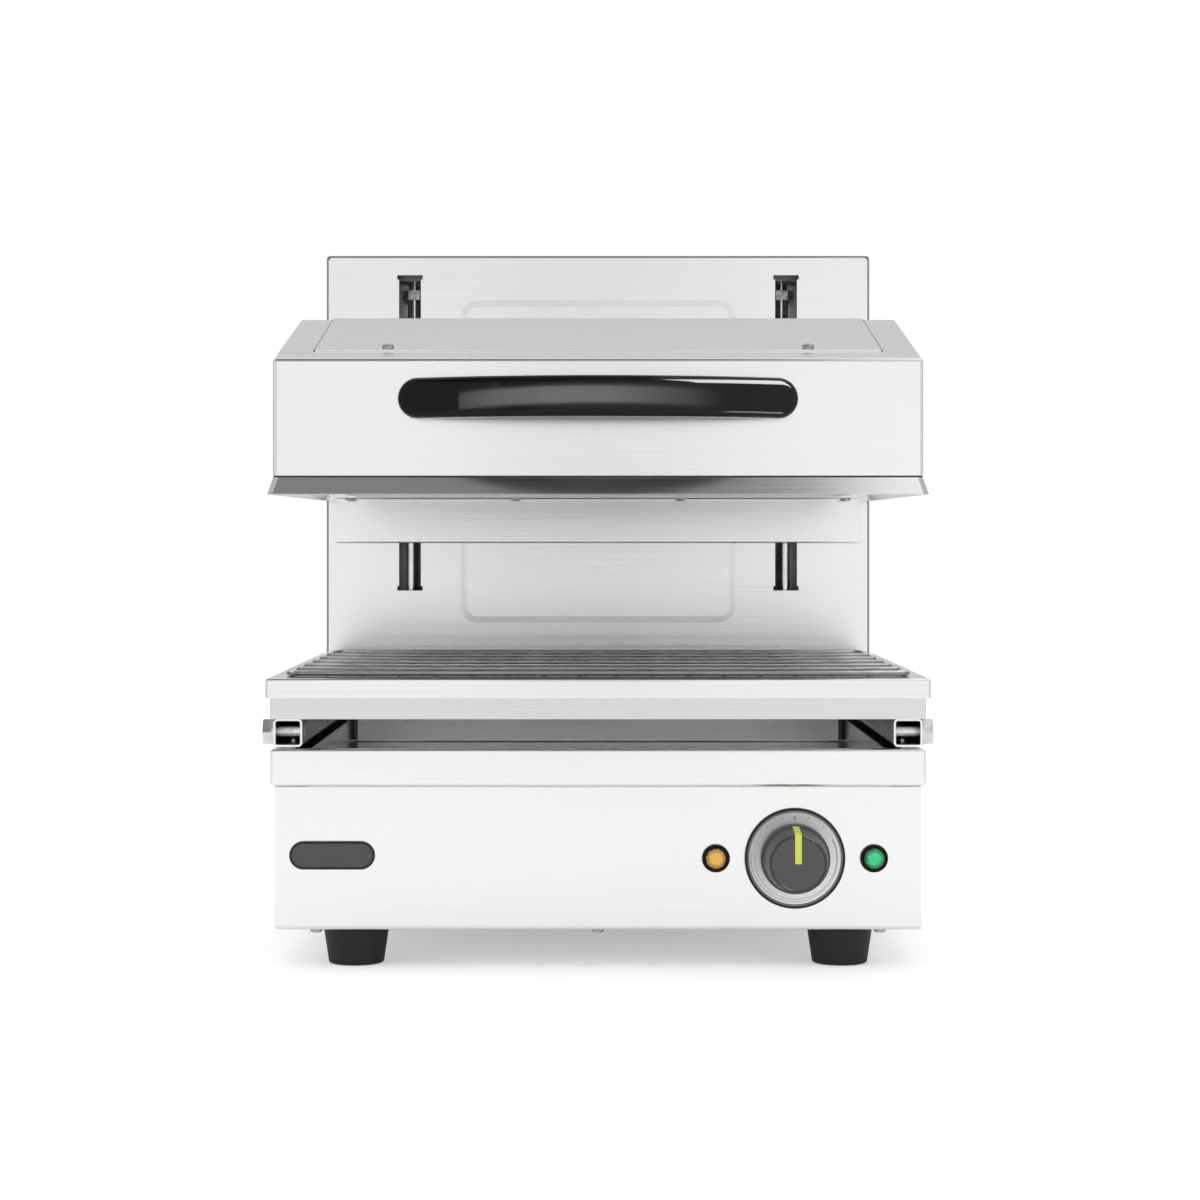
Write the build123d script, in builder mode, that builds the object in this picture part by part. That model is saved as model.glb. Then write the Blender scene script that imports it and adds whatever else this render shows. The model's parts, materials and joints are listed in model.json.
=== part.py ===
"""Countertop salamander grill: a hood with heating elements that lifts over a wire grid.

Millimetres. X is to the right, Y to the back, Z up, and the floor is at Z = 0. The hood hangs on
two arms that pass through slots in the rear column, run on guide rods and are carried by gas springs.
"""

import os
from math import atan2, cos, sin

from build123d import *

os.makedirs("parts", exist_ok=True)

# Overall sizes
body_width = 450.0  # base, column and hood
column_height = 535.0  # floor to the top of the column
column_depth = 80.0
cook_depth = 365.0  # control panel face to column face
hood_lead = 13.0  # hood face ahead of the control panel face
handle_reach = 50.0  # hood face to the front of the bow handle
gland_reach = 12.0  # column back to the end of the cable gland
foot_height = 29.0
panel_height = 102.0

# Sheet metal and clearances
sheet = 1.5
bend = 3.0  # outside bend radius
flange = 16.0  # usual folded edge
fit = 0.3  # between loose or moving pieces
hole_gap = 0.2  # round a fastener, on the radius
overrun = 10.0  # how far a cut runs past what it cuts

# Pan-head screws and hex nuts
screw_r = 2.0
screw_head_r = 4.2
screw_head_height = 2.4
screw_head_round = 1.2
screw_tail = 3.0  # past the sheets it holds

# Feet
foot_top_r = 24.0
foot_floor_r = 19.5
foot_edge = 1.5
foot_inset = 45.0  # foot centre behind the panel face and ahead of the back
foot_side_inset = 53.0  # foot centre inside the body's side
foot_recess_r = 8.0
foot_recess_depth = 9.0

# Bottom plate
bottom_screw_inset = 28.0  # inside the body's side
vent_length = 46.0
vent_width = 5.0
vent_pitch = 14.0
vent_rows = 8
vent_columns = 3

# Tray opening, drip tray and rails
tray_height = 20.7  # pan, floor to rim
tray_headroom = 3.5  # rim to the flange above it
tray_side_gap = 20.0  # pan inside the body's side
tray_corner_slit = 5.0  # open corner between the rear wall and each side wall
tray_back_gap = 8.0  # pan to the column face
tray_lip_lead = 12.0  # lip face ahead of the control panel face
tray_lip_over = 2.0  # past the body's side
tray_lip_drop = 1.0  # lip's lower edge below the pan's underside
tray_lip_height = 25.5
tray_lip_depth = 9.0
tray_lip_round = 2.0
rail_width = 20.0
rail_height = 19.5
rail_lead = 8.0  # rail end ahead of the control panel face
rail_overhang = 6.0  # rail past the edge of the side flange below it
rail_bolt_r = 4.0
rail_bolt_across = 17.0
rail_bolt_head = 6.5
rail_washer_r = 10.0
rail_washer = 2.0
rail_bolt_setback = 16.0  # bolt behind the rail end
rail_screw_setback = 36.0
rail_screw_rear = 87.0  # rear screw ahead of the column

# Deck and wire grid
subframe_over = 2.0  # past the body's side
subframe_lead = 12.0  # subframe face ahead of the control panel face
subframe_height = 27.0
deck_over = 5.0  # past the body's side
deck_lead = 16.0
deck_lip_height = 14.0
deck_lip_round = 2.0
window_side = 32.0  # deck beside the window
window_setback = 30.0  # window behind the deck's front edge
window_rear = 33.0  # window ahead of the column
window_drop = 12.0
grid_wire = 4.0
grid_side_lap = 21.0  # grid past the window's sides
grid_front_lap = 6.0  # grid past the window's front and rear
grid_corner = 8.0
grid_cross_count = 5  # wires side to side, between the front and rear ones
grid_long_count = 16  # wires front to back
grid_weld = 0.6

# Column
slot_inset = 69.0  # slot centre inside the body's side
slot_width = 18.0
slot_below = 7.5  # slot past the arm at the bottom of its travel
slot_above = 10.0  # slot past the arm at the top of its travel
slot_relief_width = 21.0
slot_relief_height = 3.5
slot_flange = 6.0
bead_side_gap = 42.0  # slot centre to the bead
bead_low_gap = 26.0  # deck to the bead
bead_top_gap = 37.0  # bead to the top of the column
bead_height = 0.8
bead_slope = 5.0
bead_corner = 14.0
louvre_length = 70.0
louvre_width = 5.0
louvre_pitch = 14.0
louvre_rows = 7
louvre_spread = 180.0
louvre_drop = 110.0  # column top to the middle of the louvres
cover_return = 14.0

# Lift mechanism
travel_down = 80.0
travel_up = 75.0
rod_r = 6.0
rod_thread_r = 5.0
rod_rear_gap = 20.0  # rod axis ahead of the column's back
crossbar = 5.0
crossbar_depth = 34.0
upper_bar_drop = 17.0  # below the top of the column
lower_bar_rise = 20.0  # above the deck
rod_thread_show = 7.0  # bare thread between the lock nut and the upper bar
nut_across = 17.0
nut_height = 8.0
block_width = 32.0
block_height = 80.0
bush_r = 9.0
bush_length = 18.0
bush_flange_r = 12.0
bush_flange = 2.5
bush_running_gap = 0.06
arm_width = 10.0
arm_height = 89.0
gas_setback = 14.0  # gas spring axis behind the column face
gas_body_r = 9.0
gas_bore_r = 7.2
gas_foot_height = 13.0
gas_low_gap = 3.0  # piston to the lower cap at the bottom of its travel
gas_high_gap = 9.0  # piston to the upper cap at the top of its travel
gas_cap = 8.0
gas_stud_r = 4.0
gas_foot_width = 26.0
gas_piston_r = 6.8
gas_piston_height = 12.0
gas_rod_r = 4.0
gas_rod_gap = 0.08

# Hood
hood_rear_gap = 8.0  # hood to the column face
hood_drop = 190.0  # column top to the hood's lower edge, as stored
hood_front = 81.0  # height of the front face
hood_height = 121.0  # lower edge to the flat rear part of the top
ridge_setback = 173.0  # ridge behind the hood face
skirt_height = 13.0
skirt_reveal = 1.2  # shadow gap between the shell and the skirt
skirt_neck = 12.0
skirt_flare_side = 3.5
skirt_flare_front = 6.0
skirt_corner = 4.0
skirt_lip = 2.0  # skirt edge below its inner ledge
skirt_ledge = 26.0
top_plate_side = 26.0  # hood beside the top plate
top_plate_setback = 30.0  # along Y, behind the hood face
top_plate_rear_gap = 12.0
top_plate_lap = 14.0
top_plate_sheet = 1.2
top_screw_inset = 51.0  # inside the top plate's side
top_screw_setback = 8.0  # behind the front edge of the top plate
top_vent_margin = 31.0  # top plate beside the vents
top_vent_gap = 24.0  # between vents, side to side
top_vent_columns = 4
top_vent_rows = 3
top_vent_pitch = 16.0  # front to back
top_vent_from_rear = 70.0
shield_side = 8.5  # inside the hood's side
shield_drop = 48.0  # below the hood's lower edge
shield_ledge = 22.0
shield_hem = 7.0  # lower edge folded towards the column
shield_hem_round = 1.2
shield_screw_inset = 13.25  # inside the shield's end
shield_screw_count = 4

# Handle
handle_length = 276.0
handle_height = 28.0
handle_thickness = 14.0
handle_pad = 26.0
handle_end = 8.0  # thickness where the bow meets the hood
handle_rise = 53.0  # above the hood's lower edge
handle_round = 5.0
handle_screw_depth = 6.0

# Heating elements
reflector_side = 23.0  # inside the hood's side
reflector_front = 24.0  # inside the hood's front and rear
reflector_height = 24.0
reflector_corner = 6.0
element_r = 4.0
element_side = 53.5  # outer leg inside the reflector's side
element_legs = 4
element_names = ("left", "centre", "right")
element_bend_gap = 3.0  # straight piece between the bends of neighbouring legs
element_rise = 4.0  # element axis above the hood's lower edge
element_front = 46.0  # elements behind the reflector's front
element_tail = 22.0  # terminal above the reflector
terminal_setback = 26.0  # terminals ahead of the reflector's rear wall
support_bar = 2.0
support_bar_width = 12.0
support_inset = 76.0  # bars inside the reflector's front and rear
insulation_height = 14.0
insulation_edge = 12.0

# Controls
control_z = 79.0
knob_inset = 88.0  # inside the body's right side
lamp_pitch = 55.0  # lamp centre to knob centre
bezel_r = 35.0
bezel_height = 2.4
bezel_rim = 3.0
dial_inlay = 1.2
dial_inner_r = 22.0
knob_base_r = 24.0
knob_face_r = 20.0
knob_skirt = 6.0
knob_step = 1.4
knob_length = 32.0
knob_edge = 2.0
pointer_width = 4.6
pointer_rise = 0.5
spindle_r = 3.0
spindle_gap = 0.06
spindle_in_knob = 20.0
regulator_width = 42.0
regulator_depth = 34.0
regulator_neck_r = 5.5
regulator_corner = 3.0
lamp_r = 9.75
lamp_lens_r = 7.4
lamp_rim_height = 2.6
lamp_lens_rise = 2.6
lamp_body_r = 6.0
lamp_body_length = 24.0

# Mains side
gland_x = 90.0
gland_z = 70.0
gland_bore_r = 5.0
gland_thread_r = 10.0
gland_across = 24.0
gland_collar = 4.0
gland_inside = 10.0
gland_nut_height = 5.0
terminal_width = 64.0
terminal_depth = 24.0
terminal_height = 18.0
terminal_ways = 5
terminal_screw_r = 3.0
terminal_screw_depth = 8.0
terminal_x = -80.0
terminal_gap = 60.0  # terminal block ahead of the column face

# Places worked out from the sizes above
overall_depth = handle_reach + hood_lead + cook_depth + column_depth + gland_reach
hood_face_y = handle_reach - overall_depth / 2
panel_y = hood_face_y + hood_lead
column_y = panel_y + cook_depth
rear_y = column_y + column_depth
half_width = body_width / 2
inner_half = half_width - sheet
base_z = foot_height
panel_top_z = base_z + panel_height
tray_z = panel_top_z + fit
rim_z = tray_z + tray_height
side_top_z = rim_z + tray_headroom + sheet
wall_top_z = side_top_z - bend
rail_top_z = side_top_z + rail_height
deck_under_z = rail_top_z + subframe_height
deck_z = deck_under_z + sheet
tray_face_y = panel_y - tray_lip_lead
rail_y = panel_y - rail_lead
subframe_y = panel_y - subframe_lead
deck_y = panel_y - deck_lead
tray_width = body_width - 2 * tray_side_gap
tray_lip_width = body_width + 2 * tray_lip_over
subframe_width = body_width + 2 * subframe_over
deck_width = body_width + 2 * deck_over
window_width = deck_width - 2 * window_side
window_depth = cook_depth + deck_lead - window_setback - window_rear
grid_width = window_width + 2 * grid_side_lap
grid_depth = window_depth + 2 * grid_front_lap
hood_rear_y = column_y - hood_rear_gap
hood_depth = hood_rear_y - hood_face_y
hood_low = column_height - hood_drop
hood_brow = hood_low + hood_front
hood_ridge = hood_low + hood_height
ridge_y = hood_face_y + ridge_setback
slope = atan2(hood_ridge - hood_brow, ridge_setback)
slot_x = half_width - slot_inset
slot_spread = 2 * slot_x
bead_width = slot_spread - 2 * bead_side_gap
bead_low = deck_z + bead_low_gap
bead_high = column_height - bead_top_gap
arm_low = hood_low
arm_high = arm_low + arm_height
slot_low = arm_low - travel_down - slot_below
slot_high = arm_high + travel_up + slot_above
rod_y = rear_y - rod_rear_gap
upper_bar_z = column_height - upper_bar_drop
lower_bar_z = deck_z + lower_bar_rise
block_low = arm_low
gas_y = column_y + gas_setback
rail_inner = half_width - rail_width
rail_mid_z = side_top_z + rail_height / 2
rail_screw_x = half_width - rail_width / 2
rail_screw_ys = [rail_y + rail_screw_setback, column_y - rail_screw_rear]
rail_bolt_y = rail_y + rail_bolt_setback
bottom_screw_x = half_width - bottom_screw_inset
bottom_screw_xs = [-bottom_screw_x, 0, bottom_screw_x]
bottom_screw_ys = [panel_y + flange / 2, rear_y - flange / 2]
foot_half = half_width - foot_side_inset
foot_places = {
    "front_left": (-foot_half, panel_y + foot_inset),
    "front_right": (foot_half, panel_y + foot_inset),
    "rear_left": (-foot_half, rear_y - foot_inset),
    "rear_right": (foot_half, rear_y - foot_inset),
}
plate_low_z = base_z + sheet
plate_z = plate_low_z + sheet
gas_low = plate_z + gas_foot_height
gas_piston_low = gas_low + gas_cap + travel_down + gas_low_gap
gas_high = gas_piston_low + gas_piston_height + travel_up + gas_high_gap + gas_cap
knob_x = half_width - knob_inset
knob_plane = Plane(origin=(knob_x, panel_y, control_z), x_dir=(1, 0, 0), z_dir=(0, -1, 0))
lamp_xs = {"amber": knob_x - lamp_pitch, "green": knob_x + lamp_pitch}
ledge_z = hood_low - skirt_height + skirt_lip + 2 * sheet  # top of the skirt's inner ledge
shield_y = hood_rear_y - 2 * sheet - fit
shield_screw_y = shield_y - shield_ledge / 2
reflector_top_z = ledge_z + reflector_height
reflector_y = (hood_face_y + hood_rear_y) / 2
reflector_width = body_width - 2 * reflector_side
reflector_depth = hood_depth - 2 * reflector_front
top_plate_width = body_width - 2 * top_plate_side
shield_width = body_width - 2 * shield_side
shield_low = hood_low - shield_drop
handle_z = hood_low + handle_rise
element_z = hood_low + element_rise
reflector_rear_y = reflector_y + reflector_depth / 2


def block(x_range, y_range, z_range, mode=Mode.ADD):
    """Add or cut a straight-sided block between two corners."""
    (x0, x1), (y0, y1), (z0, z1) = x_range, y_range, z_range
    with BuildSketch(Plane.XY.offset(z0)) as outline:
        with Locations(((x0 + x1) / 2, (y0 + y1) / 2)):
            Rectangle(x1 - x0, y1 - y0)
    extrude(outline.sketch, amount=z1 - z0, mode=mode)


def folded(plane, points, length, thickness=sheet, radius=bend):
    """Bend a strip of sheet along the points, its thickness to their left, and give it a length."""
    with BuildSketch(plane) as section:
        with BuildLine():
            FilletPolyline(*points, radius=radius)
            offset(amount=thickness, side=Side.LEFT)
        make_face()
    extrude(section.sketch, amount=length)


def rod(plane, radius, length, mode=Mode.ADD):
    """Add or cut a round bar that stands on a plane."""
    with BuildSketch(plane) as circle:
        Circle(radius)
    extrude(circle.sketch, amount=length, mode=mode)


def hex_bar(plane, across, length):
    """Add a hexagonal head or nut that stands on a plane."""
    with BuildSketch(plane) as hexagon:
        RegularPolygon(across / 2, side_count=6, major_radius=False)
    extrude(hexagon.sketch, amount=length)


def screw(plane, grip):
    """Add a pan-head screw whose head stands on the plane and whose shank goes down through grip."""
    with BuildSketch(plane) as head:
        Circle(screw_head_r)
    cap = extrude(head.sketch, amount=screw_head_height)
    fillet(cap.edges().group_by(Axis(plane.origin, plane.z_dir))[-1], radius=screw_head_round)
    rod(plane, screw_r, -grip - screw_tail)


def upright(x, y, z):
    """A level plane at a point, facing up."""
    return Plane(origin=(x, y, z))


def hanging(x, y, z):
    """A level plane at a point, facing down."""
    return Plane(origin=(x, y, z), x_dir=(1, 0, 0), z_dir=(0, 0, -1))


def across_x(x, y, z):
    """A plane at a point that faces right."""
    return Plane(origin=(x, y, z), x_dir=(0, 1, 0), z_dir=(1, 0, 0))


def facing_front(x, y, z):
    """A plane at a point that faces the front."""
    return Plane(origin=(x, y, z), x_dir=(1, 0, 0), z_dir=(0, -1, 0))


def hand_in(builder, name):
    """Label a finished piece and write it out."""
    builder.part.label = name
    export_step(builder.part, f"parts/{name}.step")


# Control panel: a folded front with holes for the knob and the lamps
with BuildPart() as control_panel:
    folded(
        Plane.YZ.offset(-half_width),
        [
            (panel_y + flange, panel_top_z),
            (panel_y, panel_top_z),
            (panel_y, base_z),
            (panel_y + flange, base_z),
        ],
        body_width,
    )
    for x_range in ((-half_width, -inner_half + bend), (inner_half - bend, half_width)):
        block(
            x_range,
            (panel_y + sheet, panel_y + flange + overrun),
            (base_z - overrun, panel_top_z + overrun),
            Mode.SUBTRACT,
        )
    rod(knob_plane.offset(overrun), regulator_neck_r + hole_gap, -2 * overrun, Mode.SUBTRACT)
    for lamp_x in lamp_xs.values():
        lamp_front = facing_front(lamp_x, panel_y - overrun, control_z)
        rod(lamp_front, lamp_body_r + hole_gap, -2 * overrun, Mode.SUBTRACT)
    for screw_x in bottom_screw_xs:
        rod(upright(screw_x, bottom_screw_ys[0], base_z), screw_r + hole_gap, sheet, Mode.SUBTRACT)
hand_in(control_panel, "control_panel")

# Rear panel of the base: folded like the control panel, with the cable gland's hole
with BuildPart() as base_rear_panel:
    folded(
        Plane.YZ.offset(-half_width),
        [
            (rear_y - flange, base_z),
            (rear_y, base_z),
            (rear_y, wall_top_z),
            (rear_y - flange, wall_top_z),
        ],
        body_width,
    )
    for x_range in ((-half_width, -inner_half + bend), (inner_half - bend, half_width)):
        block(
            x_range,
            (rear_y - flange - overrun, rear_y - sheet),
            (base_z - overrun, wall_top_z + overrun),
            Mode.SUBTRACT,
        )
    gland_hole = facing_front(gland_x, rear_y + overrun, gland_z)
    rod(gland_hole, gland_thread_r + hole_gap, 2 * overrun, Mode.SUBTRACT)
    for screw_x in bottom_screw_xs:
        rod(upright(screw_x, bottom_screw_ys[1], base_z), screw_r + hole_gap, sheet, Mode.SUBTRACT)
hand_in(base_rear_panel, "base_rear_panel")

# Side panels of the base: the top flange carries the rail, the column stands on the wall behind it
with BuildPart() as base_right_side:
    folded(
        Plane.XZ.offset(sheet - rear_y),
        [
            (half_width - flange, base_z),
            (half_width, base_z),
            (half_width, side_top_z),
            (rail_inner + rail_overhang, side_top_z),
        ],
        rear_y - panel_y - 2 * sheet,
    )
    block(
        (rail_inner - overrun, half_width + overrun),
        (column_y - fit, rear_y + overrun),
        (wall_top_z, side_top_z + overrun),
        Mode.SUBTRACT,
    )
    for y_range in (
        (panel_y - overrun, panel_y + flange + fit),
        (rear_y - flange - fit, rear_y + overrun),
    ):
        block(
            (half_width - flange - overrun, inner_half),
            y_range,
            (base_z - overrun, base_z + bend),
            Mode.SUBTRACT,
        )
    for screw_y in rail_screw_ys:
        rail_screw_hole = upright(rail_screw_x, screw_y, side_top_z)
        rod(rail_screw_hole, screw_r + hole_gap, -sheet, Mode.SUBTRACT)
hand_in(base_right_side, "base_right_side")

with BuildPart() as base_left_side:
    mirror(base_right_side.part, about=Plane.YZ)
hand_in(base_left_side, "base_left_side")

# Bottom plate: lies on the folded edges of the four walls, with rows of vents
with BuildPart() as bottom_plate:
    block(
        (bend - inner_half, inner_half - bend),
        (panel_y + sheet + bend, rear_y - sheet - bend),
        (plate_low_z, plate_z),
    )
    with BuildSketch(Plane.XY.offset(plate_low_z)):
        with Locations((0, (panel_y + column_y) / 2)):
            with GridLocations(vent_length + vent_pitch, vent_pitch, vent_columns, vent_rows):
                SlotOverall(vent_length, vent_width)
    extrude(amount=sheet, mode=Mode.SUBTRACT)
    for screw_x in bottom_screw_xs:
        for screw_y in bottom_screw_ys:
            rod(upright(screw_x, screw_y, plate_low_z), screw_r + hole_gap, sheet, Mode.SUBTRACT)
    for foot_x, foot_y in foot_places.values():
        rod(upright(foot_x, foot_y, plate_low_z), screw_r + hole_gap, sheet, Mode.SUBTRACT)
hand_in(bottom_plate, "bottom_plate")

# Shelf that the drip tray slides on, folded down along the side walls
with BuildPart() as tray_shelf:
    shelf_front_y = panel_y + flange + fit
    folded(
        Plane.XZ.offset(-column_y - sheet),
        [
            (inner_half, panel_top_z - flange),
            (inner_half, panel_top_z),
            (-inner_half, panel_top_z),
            (-inner_half, panel_top_z - flange),
        ],
        column_y + sheet - shelf_front_y,
    )
hand_in(tray_shelf, "tray_shelf")

# Feet: tapered mouldings with a recess for the screw
for place, (foot_x, foot_y) in foot_places.items():
    with BuildPart() as foot:
        with BuildSketch(upright(foot_x, foot_y, 0)):
            Circle(foot_floor_r)
        with BuildSketch(upright(foot_x, foot_y, plate_low_z)):
            Circle(foot_top_r)
        loft()
        fillet(foot.edges().group_by(Axis.Z)[0], radius=foot_edge)
        rod(upright(foot_x, foot_y, 0), foot_recess_r, foot_recess_depth, Mode.SUBTRACT)
        rod(upright(foot_x, foot_y, 0), screw_r + hole_gap, plate_z, Mode.SUBTRACT)
    hand_in(foot, f"foot_{place}")

# Screws of the base: through the bottom edges and up through the feet
with BuildPart() as base_screws:
    for screw_x in bottom_screw_xs:
        for screw_y in bottom_screw_ys:
            screw(hanging(screw_x, screw_y, base_z), plate_z - base_z)
    for foot_x, foot_y in foot_places.values():
        screw(hanging(foot_x, foot_y, foot_recess_depth), plate_z - foot_recess_depth)
hand_in(base_screws, "base_screws")

# Rails: square tubes on the side panels that carry the deck over the tray
with BuildPart() as right_rail:
    with BuildSketch(Plane.XZ.offset(-column_y)):
        with Locations((rail_screw_x, rail_mid_z)):
            RectangleRounded(rail_width, rail_height, bend)
            RectangleRounded(
                rail_width - 2 * sheet, rail_height - 2 * sheet, bend - sheet, mode=Mode.SUBTRACT
            )
    extrude(amount=column_y - rail_y)
    bolt_line = across_x(rail_inner - overrun, rail_bolt_y, rail_mid_z)
    rod(bolt_line, rail_bolt_r + hole_gap, rail_width + 2 * overrun, Mode.SUBTRACT)
    for screw_y in rail_screw_ys:
        screw_line = upright(rail_screw_x, screw_y, side_top_z - overrun)
        rod(screw_line, screw_r + hole_gap, rail_height + 2 * overrun, Mode.SUBTRACT)
hand_in(right_rail, "right_rail")

with BuildPart() as left_rail:
    mirror(right_rail.part, about=Plane.YZ)
hand_in(left_rail, "left_rail")

# Hex bolts through the front ends of the rails, each with a washer
with BuildPart() as rail_bolts:
    washer_face = across_x(half_width, rail_bolt_y, rail_mid_z)
    rod(washer_face, rail_washer_r, rail_washer)
    hex_bar(washer_face.offset(rail_washer), rail_bolt_across, rail_bolt_head)
    rod(washer_face, rail_bolt_r, -rail_width)
    mirror(about=Plane.YZ)
hand_in(rail_bolts, "rail_bolts")

# Screws inside the rails: down to the side panels and up to the deck subframe
with BuildPart() as rail_screws:
    for screw_y in rail_screw_ys:
        screw(upright(rail_screw_x, screw_y, side_top_z + sheet), 2 * sheet)
        screw(hanging(rail_screw_x, screw_y, rail_top_z - sheet), 2 * sheet)
    mirror(about=Plane.YZ)
hand_in(rail_screws, "rail_screws")

# Deck subframe: a low frame with ledges that lie on the rails
with BuildPart() as deck_subframe:
    subframe_depth = column_y - subframe_y
    with BuildSketch(Plane.XY.offset(rail_top_z)):
        with Locations((0, (subframe_y + column_y) / 2)):
            Rectangle(subframe_width, subframe_depth)
            Rectangle(subframe_width - 2 * sheet, subframe_depth - 2 * sheet, mode=Mode.SUBTRACT)
    extrude(amount=subframe_height)
    for x_range in ((-subframe_width / 2, -rail_inner), (rail_inner, subframe_width / 2)):
        block(x_range, (subframe_y, column_y), (rail_top_z, rail_top_z + sheet))
    front_edges = deck_subframe.edges().filter_by(Axis.Z).group_by(Axis.Y)[0]
    fillet(front_edges, radius=sheet / 2)
    for screw_y in rail_screw_ys:
        for screw_x in (-rail_screw_x, rail_screw_x):
            screw_line = upright(screw_x, screw_y, rail_top_z)
            rod(screw_line, screw_r + hole_gap, sheet, Mode.SUBTRACT)
hand_in(deck_subframe, "deck_subframe")

# Deck top: a pressed lid over the subframe with a window for the grid
with BuildPart() as deck_top:
    deck_end_y = column_y - fit
    window_y = deck_y + window_setback + window_depth / 2
    block(
        (-deck_width / 2, deck_width / 2),
        (deck_y, deck_end_y),
        (deck_z - deck_lip_height, deck_z),
    )
    outer_edges = deck_top.edges().filter_by(Axis.Z).group_by(Axis.Y)[0]
    fillet(outer_edges, radius=deck_lip_round)
    top_face = deck_top.faces().sort_by(Axis.Z)[-1]
    rear_edge = top_face.edges().sort_by(Axis.Y)[-1]
    fillet(top_face.edges() - [rear_edge], radius=deck_lip_round)
    rear_face = deck_top.faces().sort_by(Axis.Y)[-1]
    under_face = deck_top.faces().sort_by(Axis.Z)[0]
    offset(amount=-sheet, openings=[under_face, rear_face])
    with BuildSketch(Plane.XY.offset(deck_z - window_drop)):
        with Locations((0, window_y)):
            RectangleRounded(window_width + 2 * sheet, window_depth + 2 * sheet, bend + sheet)
    extrude(amount=window_drop - sheet / 2)
    with BuildSketch(Plane.XY.offset(deck_z - window_drop)):
        with Locations((0, window_y)):
            RectangleRounded(window_width, window_depth, bend)
    extrude(amount=window_drop + overrun, mode=Mode.SUBTRACT)
hand_in(deck_top, "deck_top")

# Wire grid: a bent border with cross wires, and long wires welded below that sit in the window
with BuildPart() as grill_grid:
    wire_r = grid_wire / 2
    border_z = deck_z + fit + wire_r
    border_x = grid_width / 2 - wire_r
    border_y = grid_depth / 2 - wire_r
    with BuildLine(Plane(origin=(0, window_y, border_z))) as border:
        corners = [(border_x, -border_y), (border_x, border_y), (-border_x, border_y), (-border_x, -border_y)]
        FilletPolyline(*corners, radius=grid_corner, close=True)
    border_wire = border.wires()[0]
    with BuildSketch(Plane(origin=border_wire @ 0, z_dir=border_wire % 0)):
        Circle(wire_r)
    sweep(path=border_wire)
    cross_pitch = 2 * border_y / (grid_cross_count + 1)
    with BuildSketch(Plane.YZ.offset(-border_x)):
        with Locations((window_y, border_z)):
            with GridLocations(cross_pitch, cross_pitch, grid_cross_count, 1):
                Circle(wire_r)
    extrude(amount=2 * border_x)
    long_half = grid_depth / 2 - grid_wire - (grid_depth - window_depth) / 2 - fit
    long_pitch = (window_width - 4 * grid_wire) / (grid_long_count - 1)
    with BuildSketch(Plane.XZ.offset(-window_y - long_half)):
        with Locations((0, border_z - grid_wire + grid_weld)):
            with GridLocations(long_pitch, long_pitch, grid_long_count, 1):
                Circle(wire_r)
    extrude(amount=2 * long_half)
hand_in(grill_grid, "grill_grid")

# Drip tray: a shallow pan whose folded lip covers the opening's lower edge
with BuildPart() as tray_lip:
    block(
        (-tray_lip_width / 2, tray_lip_width / 2),
        (tray_face_y, tray_face_y + tray_lip_depth),
        (tray_z - tray_lip_drop, tray_z - tray_lip_drop + tray_lip_height),
    )
    open_back = tray_lip.faces().sort_by(Axis.Y)[-1]
    fillet(tray_lip.edges() - open_back.edges(), radius=tray_lip_round)
    offset(amount=-sheet, openings=tray_lip.faces().sort_by(Axis.Y)[-1])

with BuildPart() as drip_tray:
    pan_front_y = tray_face_y + sheet
    pan_rear_y = column_y - tray_back_gap
    with BuildSketch(Plane.XY.offset(tray_z)):
        with Locations((0, (pan_front_y + pan_rear_y) / 2)):
            Rectangle(tray_width, pan_rear_y - pan_front_y)
    extrude(amount=tray_height)
    fillet(drip_tray.faces().sort_by(Axis.Z)[0].edges().sort_by(Axis.Y)[1:], radius=bend)
    offset(amount=-sheet, openings=drip_tray.faces().sort_by(Axis.Z)[-1])
    slit_end = tray_width / 2 - sheet
    slit_start = slit_end - tray_corner_slit
    for x_range in ((-slit_end, -slit_start), (slit_start, slit_end)):
        block(
            x_range,
            (pan_rear_y - bend, pan_rear_y + overrun),
            (tray_z + bend, rim_z + overrun),
            Mode.SUBTRACT,
        )
    add(tray_lip.part)
hand_in(drip_tray, "drip_tray")

# Column front: a slotted panel with a pressed bead, its slot edges folded back
with BuildPart() as column_front_panel:
    front_top_z = column_height - sheet
    block((-inner_half, inner_half), (column_y, column_y + sheet), (panel_top_z, front_top_z))
    fillet(column_front_panel.edges().filter_by(Axis.Y).group_by(Axis.Z)[-1], radius=bend)
    bead_z = (bead_low + bead_high) / 2
    bead_tall = bead_high - bead_low
    for step, grade in ((0, Mode.ADD), (sheet, Mode.SUBTRACT)):
        foot_plane = facing_front(0, column_y + step, bead_z)
        with BuildSketch(foot_plane):
            RectangleRounded(bead_width, bead_tall, bead_corner)
        with BuildSketch(foot_plane.offset(bead_height)):
            RectangleRounded(
                bead_width - 2 * bead_slope, bead_tall - 2 * bead_slope, bead_corner - bead_slope
            )
        loft(mode=grade)
    slot_z = (slot_low + slot_high) / 2
    slot_tall = slot_high - slot_low
    slot_plane = facing_front(0, column_y, slot_z)
    with BuildSketch(slot_plane):
        with GridLocations(slot_spread, slot_tall, 2, 1):
            Rectangle(slot_width + 2 * sheet, slot_tall - 2 * slot_relief_height)
    extrude(amount=-slot_flange)
    with BuildSketch(slot_plane):
        with GridLocations(slot_spread, slot_tall, 2, 1):
            Rectangle(slot_width, slot_tall)
        with GridLocations(slot_spread, slot_tall - slot_relief_height, 2, 2):
            Rectangle(slot_relief_width, slot_relief_height)
    extrude(amount=-slot_flange - overrun, mode=Mode.SUBTRACT)
hand_in(column_front_panel, "column_front_panel")

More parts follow.
